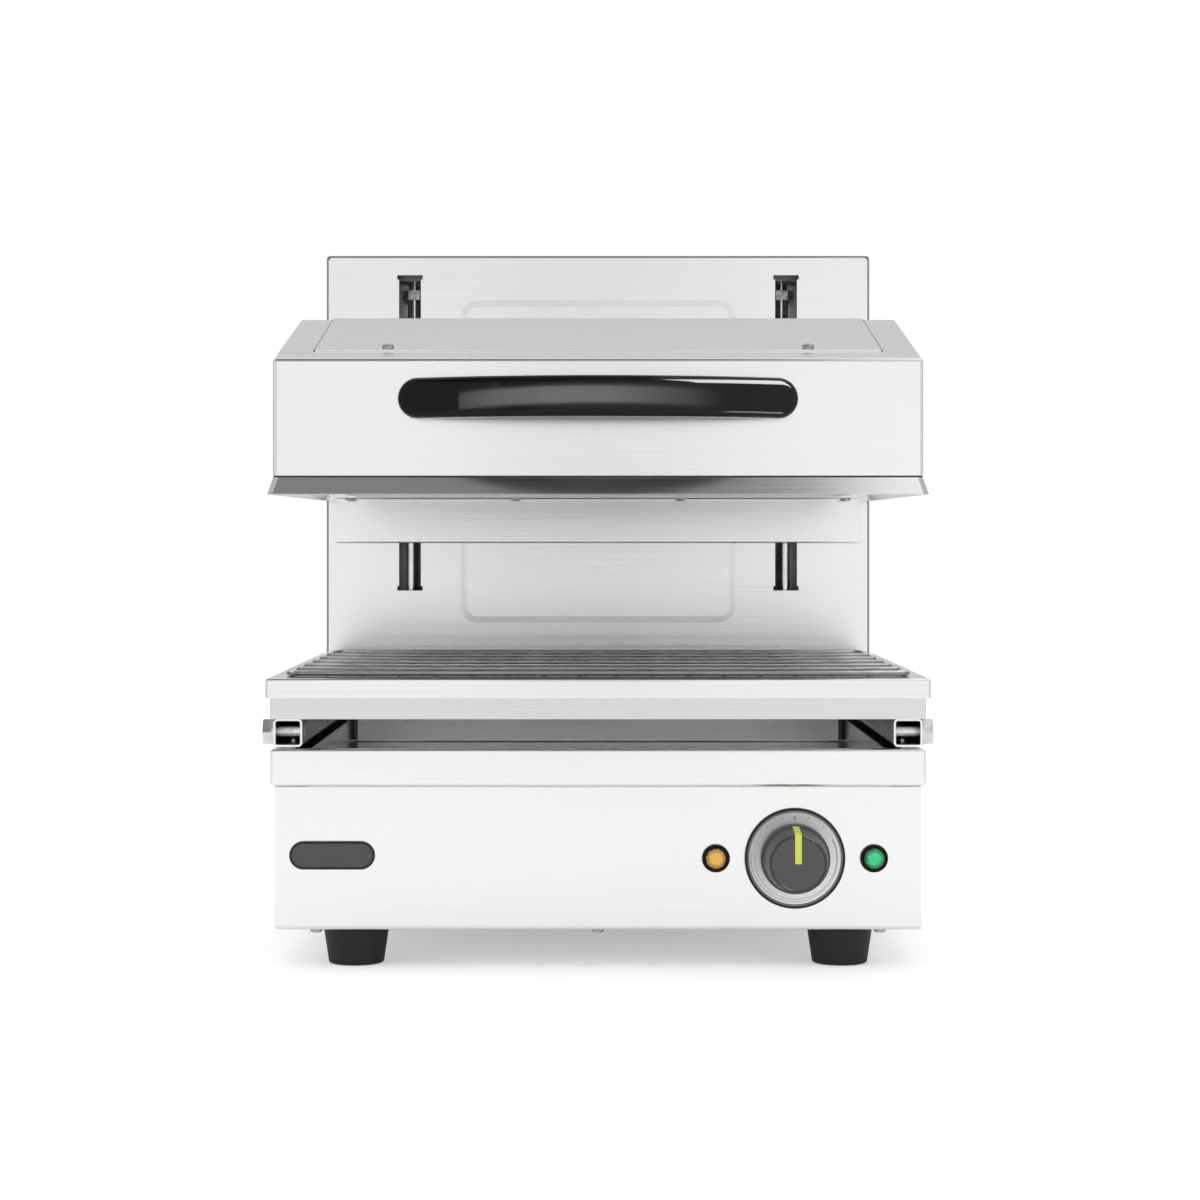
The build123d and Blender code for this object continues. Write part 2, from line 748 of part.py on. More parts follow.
# Column shell: both sides and the top in one folded sheet, with returns for the rear cover
with BuildPart() as column_shell:
    folded(
        Plane.XZ.offset(sheet - rear_y),
        [
            (half_width, wall_top_z),
            (half_width, column_height),
            (-half_width, column_height),
            (-half_width, wall_top_z),
        ],
        column_depth - sheet,
    )
    for x_range in ((-inner_half, cover_return - inner_half), (inner_half - cover_return, inner_half)):
        block(x_range, (rear_y - 2 * sheet, rear_y - sheet), (wall_top_z, column_height - bend))
hand_in(column_shell, "column_shell")

# Rear cover of the column, with louvres
with BuildPart() as column_rear_cover:
    block((-half_width, half_width), (rear_y - sheet, rear_y), (wall_top_z, column_height))
    fillet(column_rear_cover.edges().filter_by(Axis.Y).group_by(Axis.Z)[-1], radius=bend)
    with BuildSketch(facing_front(0, rear_y, column_height - louvre_drop)):
        with GridLocations(louvre_spread, louvre_pitch, 2, louvre_rows):
            SlotOverall(louvre_length, louvre_width)
    extrude(amount=sheet, mode=Mode.SUBTRACT)
hand_in(column_rear_cover, "column_rear_cover")

# Crossbars between the column's sides that hold the guide rods
bar_places = {"upper_crossbar": upper_bar_z, "lower_crossbar": lower_bar_z}
for bar_name, bar_z in bar_places.items():
    with BuildPart() as bar:
        y_range = (rod_y - crossbar_depth / 2, rod_y + crossbar_depth / 2 - cover_return / 2)
        block((-inner_half, inner_half), y_range, (bar_z, bar_z + crossbar))
        for rod_x in (-slot_x, slot_x):
            rod(upright(rod_x, rod_y, bar_z), rod_thread_r + hole_gap, crossbar, Mode.SUBTRACT)
    hand_in(bar, bar_name)

# Guide rods: polished, threaded at both ends
shoulder_low_z = lower_bar_z + crossbar
shoulder_high_z = upper_bar_z - rod_thread_show - nut_height
thread_low_z = lower_bar_z - nut_height
thread_high_z = upper_bar_z + crossbar + nut_height
with BuildPart() as right_guide_rod:
    rod(upright(slot_x, rod_y, shoulder_low_z), rod_r, shoulder_high_z - shoulder_low_z)
    rod(upright(slot_x, rod_y, thread_low_z), rod_thread_r, thread_high_z - thread_low_z)
hand_in(right_guide_rod, "right_guide_rod")

with BuildPart() as left_guide_rod:
    mirror(right_guide_rod.part, about=Plane.YZ)
hand_in(left_guide_rod, "left_guide_rod")

# Nuts on the guide rods: a lock nut and an end nut at the top, an end nut at the bottom
with BuildPart() as rod_nuts:
    for nut_z in (thread_low_z, shoulder_high_z, upper_bar_z + crossbar):
        for rod_x in (-slot_x, slot_x):
            hex_bar(upright(rod_x, rod_y, nut_z), nut_across, nut_height)
            nut_bore = upright(rod_x, rod_y, nut_z)
            rod(nut_bore, rod_thread_r, nut_height, Mode.SUBTRACT)
hand_in(rod_nuts, "rod_nuts")

# Gas springs: a cylinder that stands in the base and a piston rod that pushes up the hood's arm
with BuildPart() as right_gas_cylinder:
    gas_axis = upright(slot_x, gas_y, 0)
    rod(gas_axis.offset(gas_low), gas_body_r, gas_high - gas_low)
    fillet(right_gas_cylinder.edges().group_by(Axis.Z)[-1], radius=sheet)
    rod(gas_axis.offset(gas_low + gas_cap), gas_bore_r, gas_high - gas_low - 2 * gas_cap, Mode.SUBTRACT)
    rod(gas_axis.offset(gas_high - gas_cap), gas_rod_r + gas_rod_gap, 2 * gas_cap, Mode.SUBTRACT)
    rod(gas_axis.offset(plate_z), gas_stud_r, gas_low - plate_z)
hand_in(right_gas_cylinder, "right_gas_cylinder")

with BuildPart() as left_gas_cylinder:
    mirror(right_gas_cylinder.part, about=Plane.YZ)
hand_in(left_gas_cylinder, "left_gas_cylinder")

with BuildPart() as gas_cylinder_feet:
    gas_foot_half = gas_foot_width / 2
    block(
        (slot_x - gas_foot_half, slot_x + gas_foot_half),
        (gas_y - gas_foot_half, gas_y + gas_foot_half),
        (plate_z, gas_low),
    )
    chamfer(gas_cylinder_feet.edges().filter_by(Axis.Z), length=bend)
    rod(gas_axis, gas_stud_r + hole_gap, gas_low, Mode.SUBTRACT)
    mirror(about=Plane.YZ)
hand_in(gas_cylinder_feet, "gas_cylinder_feet")

with BuildPart() as right_gas_piston_rod:
    rod(gas_axis.offset(gas_piston_low), gas_piston_r, gas_piston_height)
    rod(gas_axis.offset(gas_piston_low), gas_rod_r, arm_low - gas_piston_low)
hand_in(right_gas_piston_rod, "right_gas_piston_rod")

with BuildPart() as left_gas_piston_rod:
    mirror(right_gas_piston_rod.part, about=Plane.YZ)
hand_in(left_gas_piston_rod, "left_gas_piston_rod")

# Hood arms: a plate through the slot, welded to a bearing block that runs on the guide rod
with BuildPart() as right_arm:
    block_half = block_width / 2
    block_front_y = rod_y - block_half
    with BuildSketch(Plane.YZ.offset(slot_x - arm_width / 2)):
        with Locations(((hood_rear_y + block_front_y) / 2, (arm_low + arm_high) / 2)):
            Rectangle(block_front_y - hood_rear_y, arm_high - arm_low)
    extrude(amount=arm_width)
    upper_rear = right_arm.edges().filter_by(Axis.X).sort_by(Axis.Z)[-2:].sort_by(Axis.Y)[-1]
    chamfer(upper_rear, length=arm_high - block_low - block_height + fit)
    with BuildSketch(upright(slot_x, rod_y, block_low)):
        RectangleRounded(block_width, block_width, bend)
    extrude(amount=block_height)
    rod(upright(slot_x, rod_y, block_low), bush_r, block_height, Mode.SUBTRACT)
hand_in(right_arm, "right_arm")

with BuildPart() as left_arm:
    mirror(right_arm.part, about=Plane.YZ)
hand_in(left_arm, "left_arm")

# Flanged bushes in both ends of each bearing block
with BuildPart() as bearing_bushes:
    for plane in (
        upright(slot_x, rod_y, block_low + block_height),
        hanging(slot_x, rod_y, block_low),
    ):
        rod(plane, bush_flange_r, bush_flange)
        rod(plane, bush_r, -bush_length)
        rod(plane.offset(bush_flange), rod_r + bush_running_gap, -bush_flange - bush_length, Mode.SUBTRACT)
    mirror(about=Plane.YZ)
hand_in(bearing_bushes, "bearing_bushes")

# Hood shell: front, sloped top, rear and sides, open below and under the top plate
handle_screw_x = handle_length / 2 - handle_pad / 2
top_edge_y = hood_face_y + top_plate_setback
top_edge_z = hood_brow + top_plate_setback * sin(slope) / cos(slope)
screw_run = top_screw_setback * cos(slope)
screw_climb = top_screw_setback * sin(slope)
top_screw_planes = [
    Plane(
        origin=(x, top_edge_y + screw_run, top_edge_z + screw_climb),
        x_dir=(1, 0, 0),
        z_dir=(0, -sin(slope), cos(slope)),
    )
    for x in (top_screw_inset - top_plate_width / 2, top_plate_width / 2 - top_screw_inset)
]
with BuildPart() as hood_shell:
    with BuildSketch(Plane.YZ):
        with BuildLine():
            Polyline(
                (hood_face_y, hood_low),
                (hood_face_y, hood_brow),
                (ridge_y, hood_ridge),
                (hood_rear_y, hood_ridge),
                (hood_rear_y, hood_low),
                close=True,
            )
        make_face()
    extrude(amount=half_width, both=True)
    floor_face = hood_shell.faces().sort_by(Axis.Z)[0]
    fillet(hood_shell.edges() - floor_face.edges(), radius=bend)
    offset(amount=-sheet, openings=hood_shell.faces().sort_by(Axis.Z)[0])
    window_half = top_plate_width / 2 - top_plate_lap
    block(
        (-window_half, window_half),
        (top_edge_y + top_plate_lap, hood_rear_y - top_plate_rear_gap - top_plate_lap),
        (hood_brow - overrun, hood_ridge + overrun),
        Mode.SUBTRACT,
    )
    for screw_x in (-handle_screw_x, handle_screw_x):
        screw_hole = facing_front(screw_x, hood_face_y + sheet, handle_z)
        rod(screw_hole, screw_r + hole_gap, sheet, Mode.SUBTRACT)
    for plane in top_screw_planes:
        rod(plane.offset(overrun), screw_r + hole_gap, -2 * overrun, Mode.SUBTRACT)
hand_in(hood_shell, "hood_shell")

# Removable plate over the slope and the rear of the hood's top, with vents
with BuildPart() as hood_top_plate:
    top_plate_end_y = hood_rear_y - top_plate_rear_gap
    top_vent_step = (top_plate_width - 2 * top_vent_margin) / top_vent_columns
    folded(
        Plane.YZ.offset(-top_plate_width / 2),
        [(top_edge_y, top_edge_z), (ridge_y, hood_ridge), (top_plate_end_y, hood_ridge)],
        top_plate_width,
        thickness=top_plate_sheet,
        radius=bend / 2,
    )
    with BuildSketch(upright(0, top_plate_end_y - top_vent_from_rear, hood_ridge)):
        with GridLocations(top_vent_step, top_vent_pitch, top_vent_columns, top_vent_rows):
            SlotOverall(top_vent_step - top_vent_gap, vent_width)
    extrude(amount=top_plate_sheet, mode=Mode.SUBTRACT)
    for plane in top_screw_planes:
        rod(plane.offset(overrun), screw_r + hole_gap, -2 * overrun, Mode.SUBTRACT)
hand_in(hood_top_plate, "hood_top_plate")

# Flared skirt below the hood: a neck inside the shell, a flared wall and an inner ledge
with BuildPart() as hood_skirt:
    skirt_top_z = hood_low - skirt_reveal
    skirt_low_z = hood_low - skirt_height
    flared_width = body_width + 2 * skirt_flare_side
    flared_depth = hood_depth + skirt_flare_front
    hood_mid_y = (hood_face_y + hood_rear_y) / 2
    flared_mid_y = hood_mid_y - skirt_flare_front / 2
    for inset, grade in ((0, Mode.ADD), (sheet, Mode.SUBTRACT)):
        with BuildSketch(Plane.XY.offset(skirt_top_z)) as upper:
            with Locations((0, hood_mid_y)):
                Rectangle(body_width - 2 * inset, hood_depth - 2 * inset)
            chamfer(upper.vertices(), length=skirt_corner)
        with BuildSketch(Plane.XY.offset(skirt_low_z)) as lower:
            with Locations((0, flared_mid_y)):
                Rectangle(flared_width - 2 * inset, flared_depth - 2 * inset)
            chamfer(lower.vertices(), length=skirt_corner)
        loft(mode=grade)
    for ring_height, ring_half_inset in ((sheet, 0), (skirt_neck, sheet)):
        with BuildSketch(Plane.XY.offset(skirt_top_z - sheet)) as neck:
            with Locations((0, hood_mid_y)):
                Rectangle(body_width - 2 * ring_half_inset, hood_depth - 2 * ring_half_inset)
            chamfer(neck.vertices(), length=skirt_corner)
            with Locations((0, hood_mid_y)):
                Rectangle(body_width - 4 * sheet, hood_depth - 4 * sheet, mode=Mode.SUBTRACT)
        extrude(amount=ring_height)
    ledge_share = (skirt_top_z - ledge_z) / (skirt_top_z - skirt_low_z)
    ledge_front = ledge_share * skirt_flare_front
    ledge_width = body_width + 2 * ledge_share * skirt_flare_side - sheet
    ledge_depth = hood_depth + ledge_front - sheet
    with BuildSketch(Plane.XY.offset(ledge_z - sheet)) as ledge:
        with Locations((0, hood_mid_y - ledge_front / 2)):
            Rectangle(ledge_width, ledge_depth)
        chamfer(ledge.vertices(), length=skirt_corner)
        with Locations((0, hood_mid_y)):
            Rectangle(body_width - 2 * skirt_ledge, hood_depth - 2 * skirt_ledge, mode=Mode.SUBTRACT)
    extrude(amount=sheet)
    shield_screw_pitch = (shield_width - 2 * shield_screw_inset) / (shield_screw_count - 1)
    shield_screw_xs = [
        (i - (shield_screw_count - 1) / 2) * shield_screw_pitch for i in range(shield_screw_count)
    ]
    for screw_x in shield_screw_xs:
        screw_hole = upright(screw_x, shield_screw_y, ledge_z - sheet)
        rod(screw_hole, screw_r + hole_gap, sheet, Mode.SUBTRACT)
hand_in(hood_skirt, "hood_skirt")

# Rear shield: hangs from the ledge at the back of the skirt
with BuildPart() as rear_shield:
    shield_z = ledge_z - 2 * sheet
    folded(
        Plane.YZ.offset(-shield_width / 2),
        [(shield_y - shield_ledge, shield_z), (shield_y, shield_z), (shield_y, shield_low)],
        shield_width,
        radius=bend - sheet,
    )
    block(
        (-shield_width / 2, shield_width / 2),
        (shield_y, shield_y + shield_hem),
        (shield_low, shield_low + sheet),
    )
    hem_edge = rear_shield.edges().filter_by(Axis.X).group_by(Axis.Z)[0].sort_by(Axis.Y)[0]
    fillet(hem_edge, radius=shield_hem_round)
    for screw_x in shield_screw_xs:
        screw_hole = upright(screw_x, shield_screw_y, shield_z)
        rod(screw_hole, screw_r + hole_gap, sheet, Mode.SUBTRACT)
hand_in(rear_shield, "rear_shield")

# Bow handle: a crescent in plan, a stadium from the front, well rounded
with BuildPart() as handle:
    outer_half = handle_length / 2
    inner_chord = outer_half - handle_pad
    inner_reach = handle_reach - handle_thickness
    with BuildSketch(upright(0, hood_face_y, handle_z - handle_height / 2)):
        with BuildLine():
            ThreePointArc((-outer_half, -handle_end), (0, -handle_reach), (outer_half, -handle_end))
            Polyline((outer_half, -handle_end), (outer_half, 0), (inner_chord, 0))
            ThreePointArc((inner_chord, 0), (0, -inner_reach), (-inner_chord, 0))
            Polyline((-inner_chord, 0), (-outer_half, 0), (-outer_half, -handle_end))
        make_face()
    extrude(amount=handle_height)
    with BuildSketch(facing_front(0, hood_face_y, handle_z)):
        SlotOverall(handle_length, handle_height)
    extrude(amount=handle_reach, mode=Mode.INTERSECT)
    outer_face, inner_face = handle.faces().filter_by(GeomType.CYLINDER).sort_by(Axis.Y)[:2]
    inner_edges = inner_face.edges().filter_by(lambda e: e.length > handle_height + fit)
    fillet(outer_face.edges() + inner_edges, radius=handle_round)
    for screw_x in (-handle_screw_x, handle_screw_x):
        screw_hole = facing_front(screw_x, hood_face_y, handle_z)
        rod(screw_hole, screw_r, handle_screw_depth, Mode.SUBTRACT)
hand_in(handle, "handle")

# Reflector: an upturned pan over the elements that stands on the skirt's ledge
element_count = len(element_names)
leg_count = element_count * element_legs
element_pitch = (reflector_width - 2 * element_side) / (leg_count - 1)
element_bend = (element_pitch - element_bend_gap) / 2
leg_xs = [(i - (leg_count - 1) / 2) * element_pitch for i in range(leg_count)]
terminal_y = reflector_rear_y - terminal_setback
tail_xs = [
    x for n in range(element_count) for x in (leg_xs[n * element_legs], leg_xs[(n + 1) * element_legs - 1])
]
with BuildPart() as reflector:
    with BuildSketch(upright(0, reflector_y, ledge_z)):
        RectangleRounded(reflector_width, reflector_depth, reflector_corner)
    extrude(amount=reflector_height)
    fillet(reflector.faces().sort_by(Axis.Z)[-1].edges(), radius=bend)
    with BuildSketch(upright(0, reflector_y, ledge_z)):
        RectangleRounded(
            reflector_width - 2 * sheet, reflector_depth - 2 * sheet, reflector_corner - sheet
        )
    extrude(amount=reflector_height - sheet, mode=Mode.SUBTRACT)
    for tail_x in tail_xs:
        terminal_hole = upright(tail_x, terminal_y, reflector_top_z - overrun)
        rod(terminal_hole, element_r + fit, 2 * overrun, Mode.SUBTRACT)
hand_in(reflector, "reflector")

# Heating elements: bent tubes whose ends turn up through the reflector
for number, name in enumerate(element_names):
    xs = leg_xs[number * element_legs : (number + 1) * element_legs]
    far_y = reflector_y - reflector_depth / 2 + element_front
    near_y = terminal_y - 2 * element_bend
    tip_z = reflector_top_z + element_tail
    route = [(xs[0], terminal_y, tip_z), (xs[0], terminal_y, element_z)]
    for i in range(0, element_legs, 2):
        route += [(xs[i], far_y, element_z), (xs[i + 1], far_y, element_z)]
        if i + 2 < element_legs:
            route += [(xs[i + 1], near_y, element_z), (xs[i + 2], near_y, element_z)]
    route += [(xs[-1], terminal_y, element_z), (xs[-1], terminal_y, tip_z)]
    with BuildPart() as element:
        with BuildLine() as tube_line:
            FilletPolyline(*route, radius=element_bend)
        with BuildSketch(hanging(xs[0], terminal_y, tip_z)):
            Circle(element_r)
        sweep(path=tube_line.wires()[0])
    hand_in(element, f"heating_element_{name}")

# Flat bars that carry the elements between the reflector's walls
with BuildPart() as element_supports:
    bar_half = reflector_width / 2 - sheet
    bar_top_z = element_z - element_r
    bar_spread = reflector_depth - 2 * support_inset
    for y in (reflector_y - bar_spread / 2, reflector_y + bar_spread / 2):
        block(
            (-bar_half, bar_half),
            (y - support_bar_width / 2, y + support_bar_width / 2),
            (bar_top_z - support_bar, bar_top_z),
        )
hand_in(element_supports, "element_supports")

# Insulation board on the reflector, ahead of the terminals
with BuildPart() as insulation_board:
    board_half = reflector_width / 2 - insulation_edge
    block(
        (-board_half, board_half),
        (reflector_y - reflector_depth / 2 + insulation_edge, terminal_y - insulation_edge),
        (reflector_top_z, reflector_top_z + insulation_height),
    )
hand_in(insulation_board, "insulation_board")

# Screws of the hood: top plate, rear shield and handle
with BuildPart() as hood_screws:
    for plane in top_screw_planes:
        screw(plane.offset(top_plate_sheet), top_plate_sheet + sheet)
    for screw_x in shield_screw_xs:
        screw(hanging(screw_x, shield_screw_y, shield_z), 2 * sheet)
    for screw_x in (-handle_screw_x, handle_screw_x):
        head_plane = Plane(
            origin=(screw_x, hood_face_y + sheet, handle_z), x_dir=(1, 0, 0), z_dir=(0, 1, 0)
        )
        screw(head_plane, sheet)
hand_in(hood_screws, "hood_screws")

# Dial: a black bezel with a bright scale ring set in it
with BuildPart() as dial_bezel:
    rod(knob_plane, bezel_r, bezel_height)
    fillet(dial_bezel.edges().group_by(Axis.Y)[0], radius=bezel_rim / 4)
    ring_plane = knob_plane.offset(bezel_height - dial_inlay)
    rod(ring_plane, bezel_r - bezel_rim, dial_inlay + overrun, Mode.SUBTRACT)
    rod(knob_plane, regulator_neck_r + hole_gap, bezel_height, Mode.SUBTRACT)
hand_in(dial_bezel, "dial_bezel")

with BuildPart() as dial_plate:
    rod(ring_plane, bezel_r - bezel_rim, dial_inlay / 2)
    rod(ring_plane, dial_inner_r, dial_inlay, Mode.SUBTRACT)
hand_in(dial_plate, "dial_plate")

# Energy regulator behind the panel, its neck through the panel and the bezel
with BuildPart() as energy_regulator:
    back_plane = knob_plane.offset(-sheet)
    with BuildSketch(back_plane):
        RectangleRounded(regulator_width, regulator_width, regulator_corner)
    extrude(amount=-regulator_depth)
    rod(back_plane, regulator_neck_r, sheet + bezel_height - dial_inlay)
    neck_front = knob_plane.offset(bezel_height)
    rod(neck_front, spindle_r + spindle_gap, -bezel_height - sheet - regulator_depth / 2, Mode.SUBTRACT)
hand_in(energy_regulator, "energy_regulator")

# Spindle, knob and pointer turn together
knob_back = knob_plane.offset(bezel_height + fit)
with BuildPart() as regulator_spindle:
    spindle_back = knob_plane.offset(-sheet - regulator_depth / 2 + fit)
    spindle_length = regulator_depth / 2 + sheet + bezel_height + spindle_in_knob
    rod(spindle_back, spindle_r, spindle_length)
hand_in(regulator_spindle, "regulator_spindle")


def knob_body(grow):
    """Add the tapered grip of the knob, larger by grow all over."""
    with BuildSketch(knob_back.offset(knob_skirt)) as grip_base:
        Circle(knob_base_r - knob_step + grow)
    with BuildSketch(knob_back.offset(knob_length + grow)) as grip_face:
        Circle(knob_face_r + grow)
    grip = loft([grip_base.sketch, grip_face.sketch])
    front_rim = grip.edges().group_by(Axis.Y)[0]
    fillet(front_rim, radius=knob_edge + grow)


with BuildPart() as control_knob:
    knob_body(0)
    rod(knob_back, knob_base_r, knob_skirt)
    rod(knob_back, spindle_r, spindle_in_knob, Mode.SUBTRACT)
    rod(knob_back, regulator_neck_r, bezel_height, Mode.SUBTRACT)
hand_in(control_knob, "control_knob")

with BuildPart() as knob_pointer:
    knob_body(pointer_rise)
    with BuildSketch(knob_back.offset(knob_skirt)):
        with Locations((0, knob_base_r / 2)):
            Rectangle(pointer_width, knob_base_r)
    extrude(amount=knob_length, mode=Mode.INTERSECT)
    add(control_knob.part, mode=Mode.SUBTRACT)
    rod(knob_back, spindle_r, spindle_in_knob, Mode.SUBTRACT)
hand_in(knob_pointer, "knob_pointer")

# Pilot lamps: a dark housing through the panel and a coloured domed lens
with BuildPart() as lamp_housings:
    for lamp_x in lamp_xs.values():
        lamp_plane = facing_front(lamp_x, panel_y, control_z)
        rod(lamp_plane, lamp_r, lamp_rim_height)
        rod(lamp_plane, lamp_body_r, -lamp_body_length)
        rod(lamp_plane.offset(lamp_rim_height / 2), lamp_lens_r, lamp_rim_height, Mode.SUBTRACT)
    fillet(lamp_housings.edges().group_by(Axis.Y)[0], radius=lamp_rim_height / 4)
hand_in(lamp_housings, "lamp_housings")

for colour, lamp_x in lamp_xs.items():
    with BuildPart() as lens:
        lens_plane = facing_front(lamp_x, panel_y - lamp_rim_height / 2, control_z)
        rod(lens_plane, lamp_lens_r, lamp_rim_height / 2 + lamp_lens_rise)
        fillet(lens.edges().group_by(Axis.Y)[0], radius=lamp_lens_rise)
    hand_in(lens, f"{colour}_lamp_lens")

# Terminal block on the bottom plate
with BuildPart() as terminal_block:
    terminal_z = plate_z + terminal_height
    block(
        (terminal_x - terminal_width / 2, terminal_x + terminal_width / 2),
        (column_y - terminal_gap - terminal_depth, column_y - terminal_gap),
        (plate_z, terminal_z),
    )
    chamfer(terminal_block.edges().filter_by(Axis.X).group_by(Axis.Z)[-1], length=bend)
    with BuildSketch(upright(terminal_x, column_y - terminal_gap - terminal_depth / 2, terminal_z)):
        with GridLocations(terminal_width / terminal_ways, terminal_depth / 2, terminal_ways, 2):
            Circle(terminal_screw_r)
    extrude(amount=-terminal_screw_depth, mode=Mode.SUBTRACT)
hand_in(terminal_block, "terminal_block")

# Cable gland in the rear panel, open for the mains lead, with its nut inside
with BuildPart() as cable_gland:
    gland_face = Plane(origin=(gland_x, rear_y, gland_z), x_dir=(-1, 0, 0), z_dir=(0, 1, 0))
    hex_bar(gland_face, gland_across, gland_collar)
    with BuildSketch(gland_face.offset(gland_collar)) as dome_base:
        Circle(gland_across / 2 - sheet / 2)
    with BuildSketch(gland_face.offset(gland_reach)) as dome_end:
        Circle(gland_thread_r - sheet)
    loft([dome_base.sketch, dome_end.sketch])
    rod(gland_face, gland_thread_r, -gland_inside)
    hex_bar(gland_face.offset(-sheet - gland_nut_height), gland_across, gland_nut_height)
    rod(gland_face.offset(gland_reach), gland_bore_r, -gland_reach - gland_inside, Mode.SUBTRACT)
hand_in(cable_gland, "cable_gland")
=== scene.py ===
"""Looks of the salamander grill: materials, small trim, light and the photograph's camera."""

import json
import math

import bmesh
import bpy
from mathutils import Matrix, Vector


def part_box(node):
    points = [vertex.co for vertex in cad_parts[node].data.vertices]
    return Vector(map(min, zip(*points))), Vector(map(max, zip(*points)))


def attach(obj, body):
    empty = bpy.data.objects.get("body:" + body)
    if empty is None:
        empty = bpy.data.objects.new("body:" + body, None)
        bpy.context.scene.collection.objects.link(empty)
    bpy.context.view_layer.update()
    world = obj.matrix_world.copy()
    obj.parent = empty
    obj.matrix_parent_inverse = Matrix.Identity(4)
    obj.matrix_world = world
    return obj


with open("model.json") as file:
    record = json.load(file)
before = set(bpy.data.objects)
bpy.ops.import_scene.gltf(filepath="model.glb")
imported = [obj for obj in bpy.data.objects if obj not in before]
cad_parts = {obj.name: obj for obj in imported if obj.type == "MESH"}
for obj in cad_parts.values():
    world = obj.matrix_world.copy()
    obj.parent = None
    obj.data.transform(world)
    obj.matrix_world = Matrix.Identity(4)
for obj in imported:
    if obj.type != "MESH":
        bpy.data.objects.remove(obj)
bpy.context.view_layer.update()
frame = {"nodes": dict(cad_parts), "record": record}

# The photograph's camera: a level view along +Y with a long lens
IMAGE_SIDE = 1200
FOCAL_PIXELS = 2730
HORIZON_PIXEL = 532
MIDDLE_PIXEL = 598
SENSOR_MM = 36
CAMERA_HEIGHT = 0.306
CAMERA_BACK = 1.900  # ahead of the control panel

# Noise of the materials
NOISE_DETAIL = 2.0
NOISE_FROM = 0.3  # most of its values lie between these two
NOISE_TO = 0.7

# Brushed sheet: tones, gloss, and its grain in repeats per metre
STEEL_BRIGHT = (0.95, 0.95, 0.945)
STEEL_DARK = (0.91, 0.91, 0.905)
STEEL_ROUGHNESS = 0.24
STEEL_SPREAD = 0.03  # of the roughness, up and down
GRAIN_ALONG = 4
GRAIN_ACROSS = 900
CLOUD_SCALE = 7
SIDE_FACING = 0.7  # a face whose normal leans this much to X is brushed along Y
BRUSH_RELIEF = 0.03
BRUSH_DEPTH = 0.0002

# Edges of sheet that catch the light
EDGE_ROUND = 0.0005
EDGE_SAMPLES = 4

# Mottled metal and moulded skins: how far the roughness swings, and the relief
METAL_ROUGHER = 1.25
METAL_SMOOTHER = 0.8
METAL_RELIEF = 0.08
METAL_DEPTH = 0.0001
SKIN_ROUGHER = 1.2
SKIN_SMOOTHER = 0.85
SKIN_RELIEF = 0.15
SKIN_DEPTH = 0.00008
PLASTIC_IOR = 1.5

# Badge plate
BADGE_X = -0.185
BADGE_Z = 0.081
BADGE_LENGTH = 0.0596
BADGE_HEIGHT = 0.0196
BADGE_RIM = 0.0016
BADGE_THICK = 0.0016
BADGE_INSET = 0.0003
PILL_STEPS = 24

# Dial plate, spun in rings, with a painted sheen
DIAL_RINGS = 2500  # per metre
DIAL_PAINTED_SHEEN = (0.5, 0, -0.87)  # towards the brightest side of its painted sheen
PAINTED_SHEEN_SHARE = 0.75  # of the tone, for the painted sheen, and the grooves have the rest
GROOVE_RELIEF = 0.1
GROOVE_DEPTH = 0.0001

# Dial scale, radii from the knob's axis
SCALE_R = 0.0292
SCALE_THIN = 0.0002
SCALE_WIDE = 0.0030
SCALE_FROM = 62  # degrees clockwise from the top
SCALE_TO = 276
SCALE_LINE = 0.00022
SCALE_STEPS = 64
MARK_THICK = 0.00008
DIGIT_SIZE = 0.0040
DIGIT_R = 0.0278
TICK_ANGLES = (318, 342, 18, 42)
TICK_LENGTH = 0.0016
TICK_WIDTH = 0.0003

# Rim round the knob's face
KNOB_RIM_R = 0.01875
KNOB_RIM_HALF = 0.00075
KNOB_RIM_RISE = 0.00035
KNOB_RIM_SEAT = 0.0010  # behind the knob's face
RIM_ARC_STEPS = 8
RIM_TURN_STEPS = 72

# Bezel: black edge, bare slope inside it
BEZEL_SLOPE_R = 0.0334
BEZEL_FADE_IN = 0.0004  # the edge's black starts this far inside that radius
BEZEL_FADE_OUT = 0.0002  # and is full this far outside it
BEZEL_UNEVEN = 0.0001
BEZEL_SKIN = 1500  # repeats per metre
BEZEL_IOR = 1.35
BEZEL_RELIEF = 0.1
BEZEL_DEPTH = 0.00005

# Lamp lenses: heart, body and rim by shares of the radius
LENS_HEART_SHARE = 0.58
LENS_BODY_SHARES = (0.70, 0.88)
LENS_RIM_SHARE = 0.98
LENS_FACETS = 800  # per metre
LENS_UNEVEN = 0.10
LENS_ROUGHNESS = 0.16
LENS_COAT = 0.3
LENS_GLOW = 0.12
FACET_REACH = 0.7  # from a facet's middle to its edge
FACET_RELIEF = 0.5
FACET_DEPTH = 0.0005

# Dark strips of painted shade on the hood: in the gap above the skirt and beside the top plate
SKIRT_GAP = 0.0012
GAP_SHADE_FIT = 0.00005
GAP_SHADE_INSET = 0.0002
GAP_SHADE_DEPTH = 0.0012
GAP_SHADE_CORNER = 0.0040
RIDGE_BACK = 0.173  # ridge of the hood behind its face
PLATE_GAP_SHADE_WIDTH = 0.0010
PLATE_GAP_SHADE_RISE = 0.0005
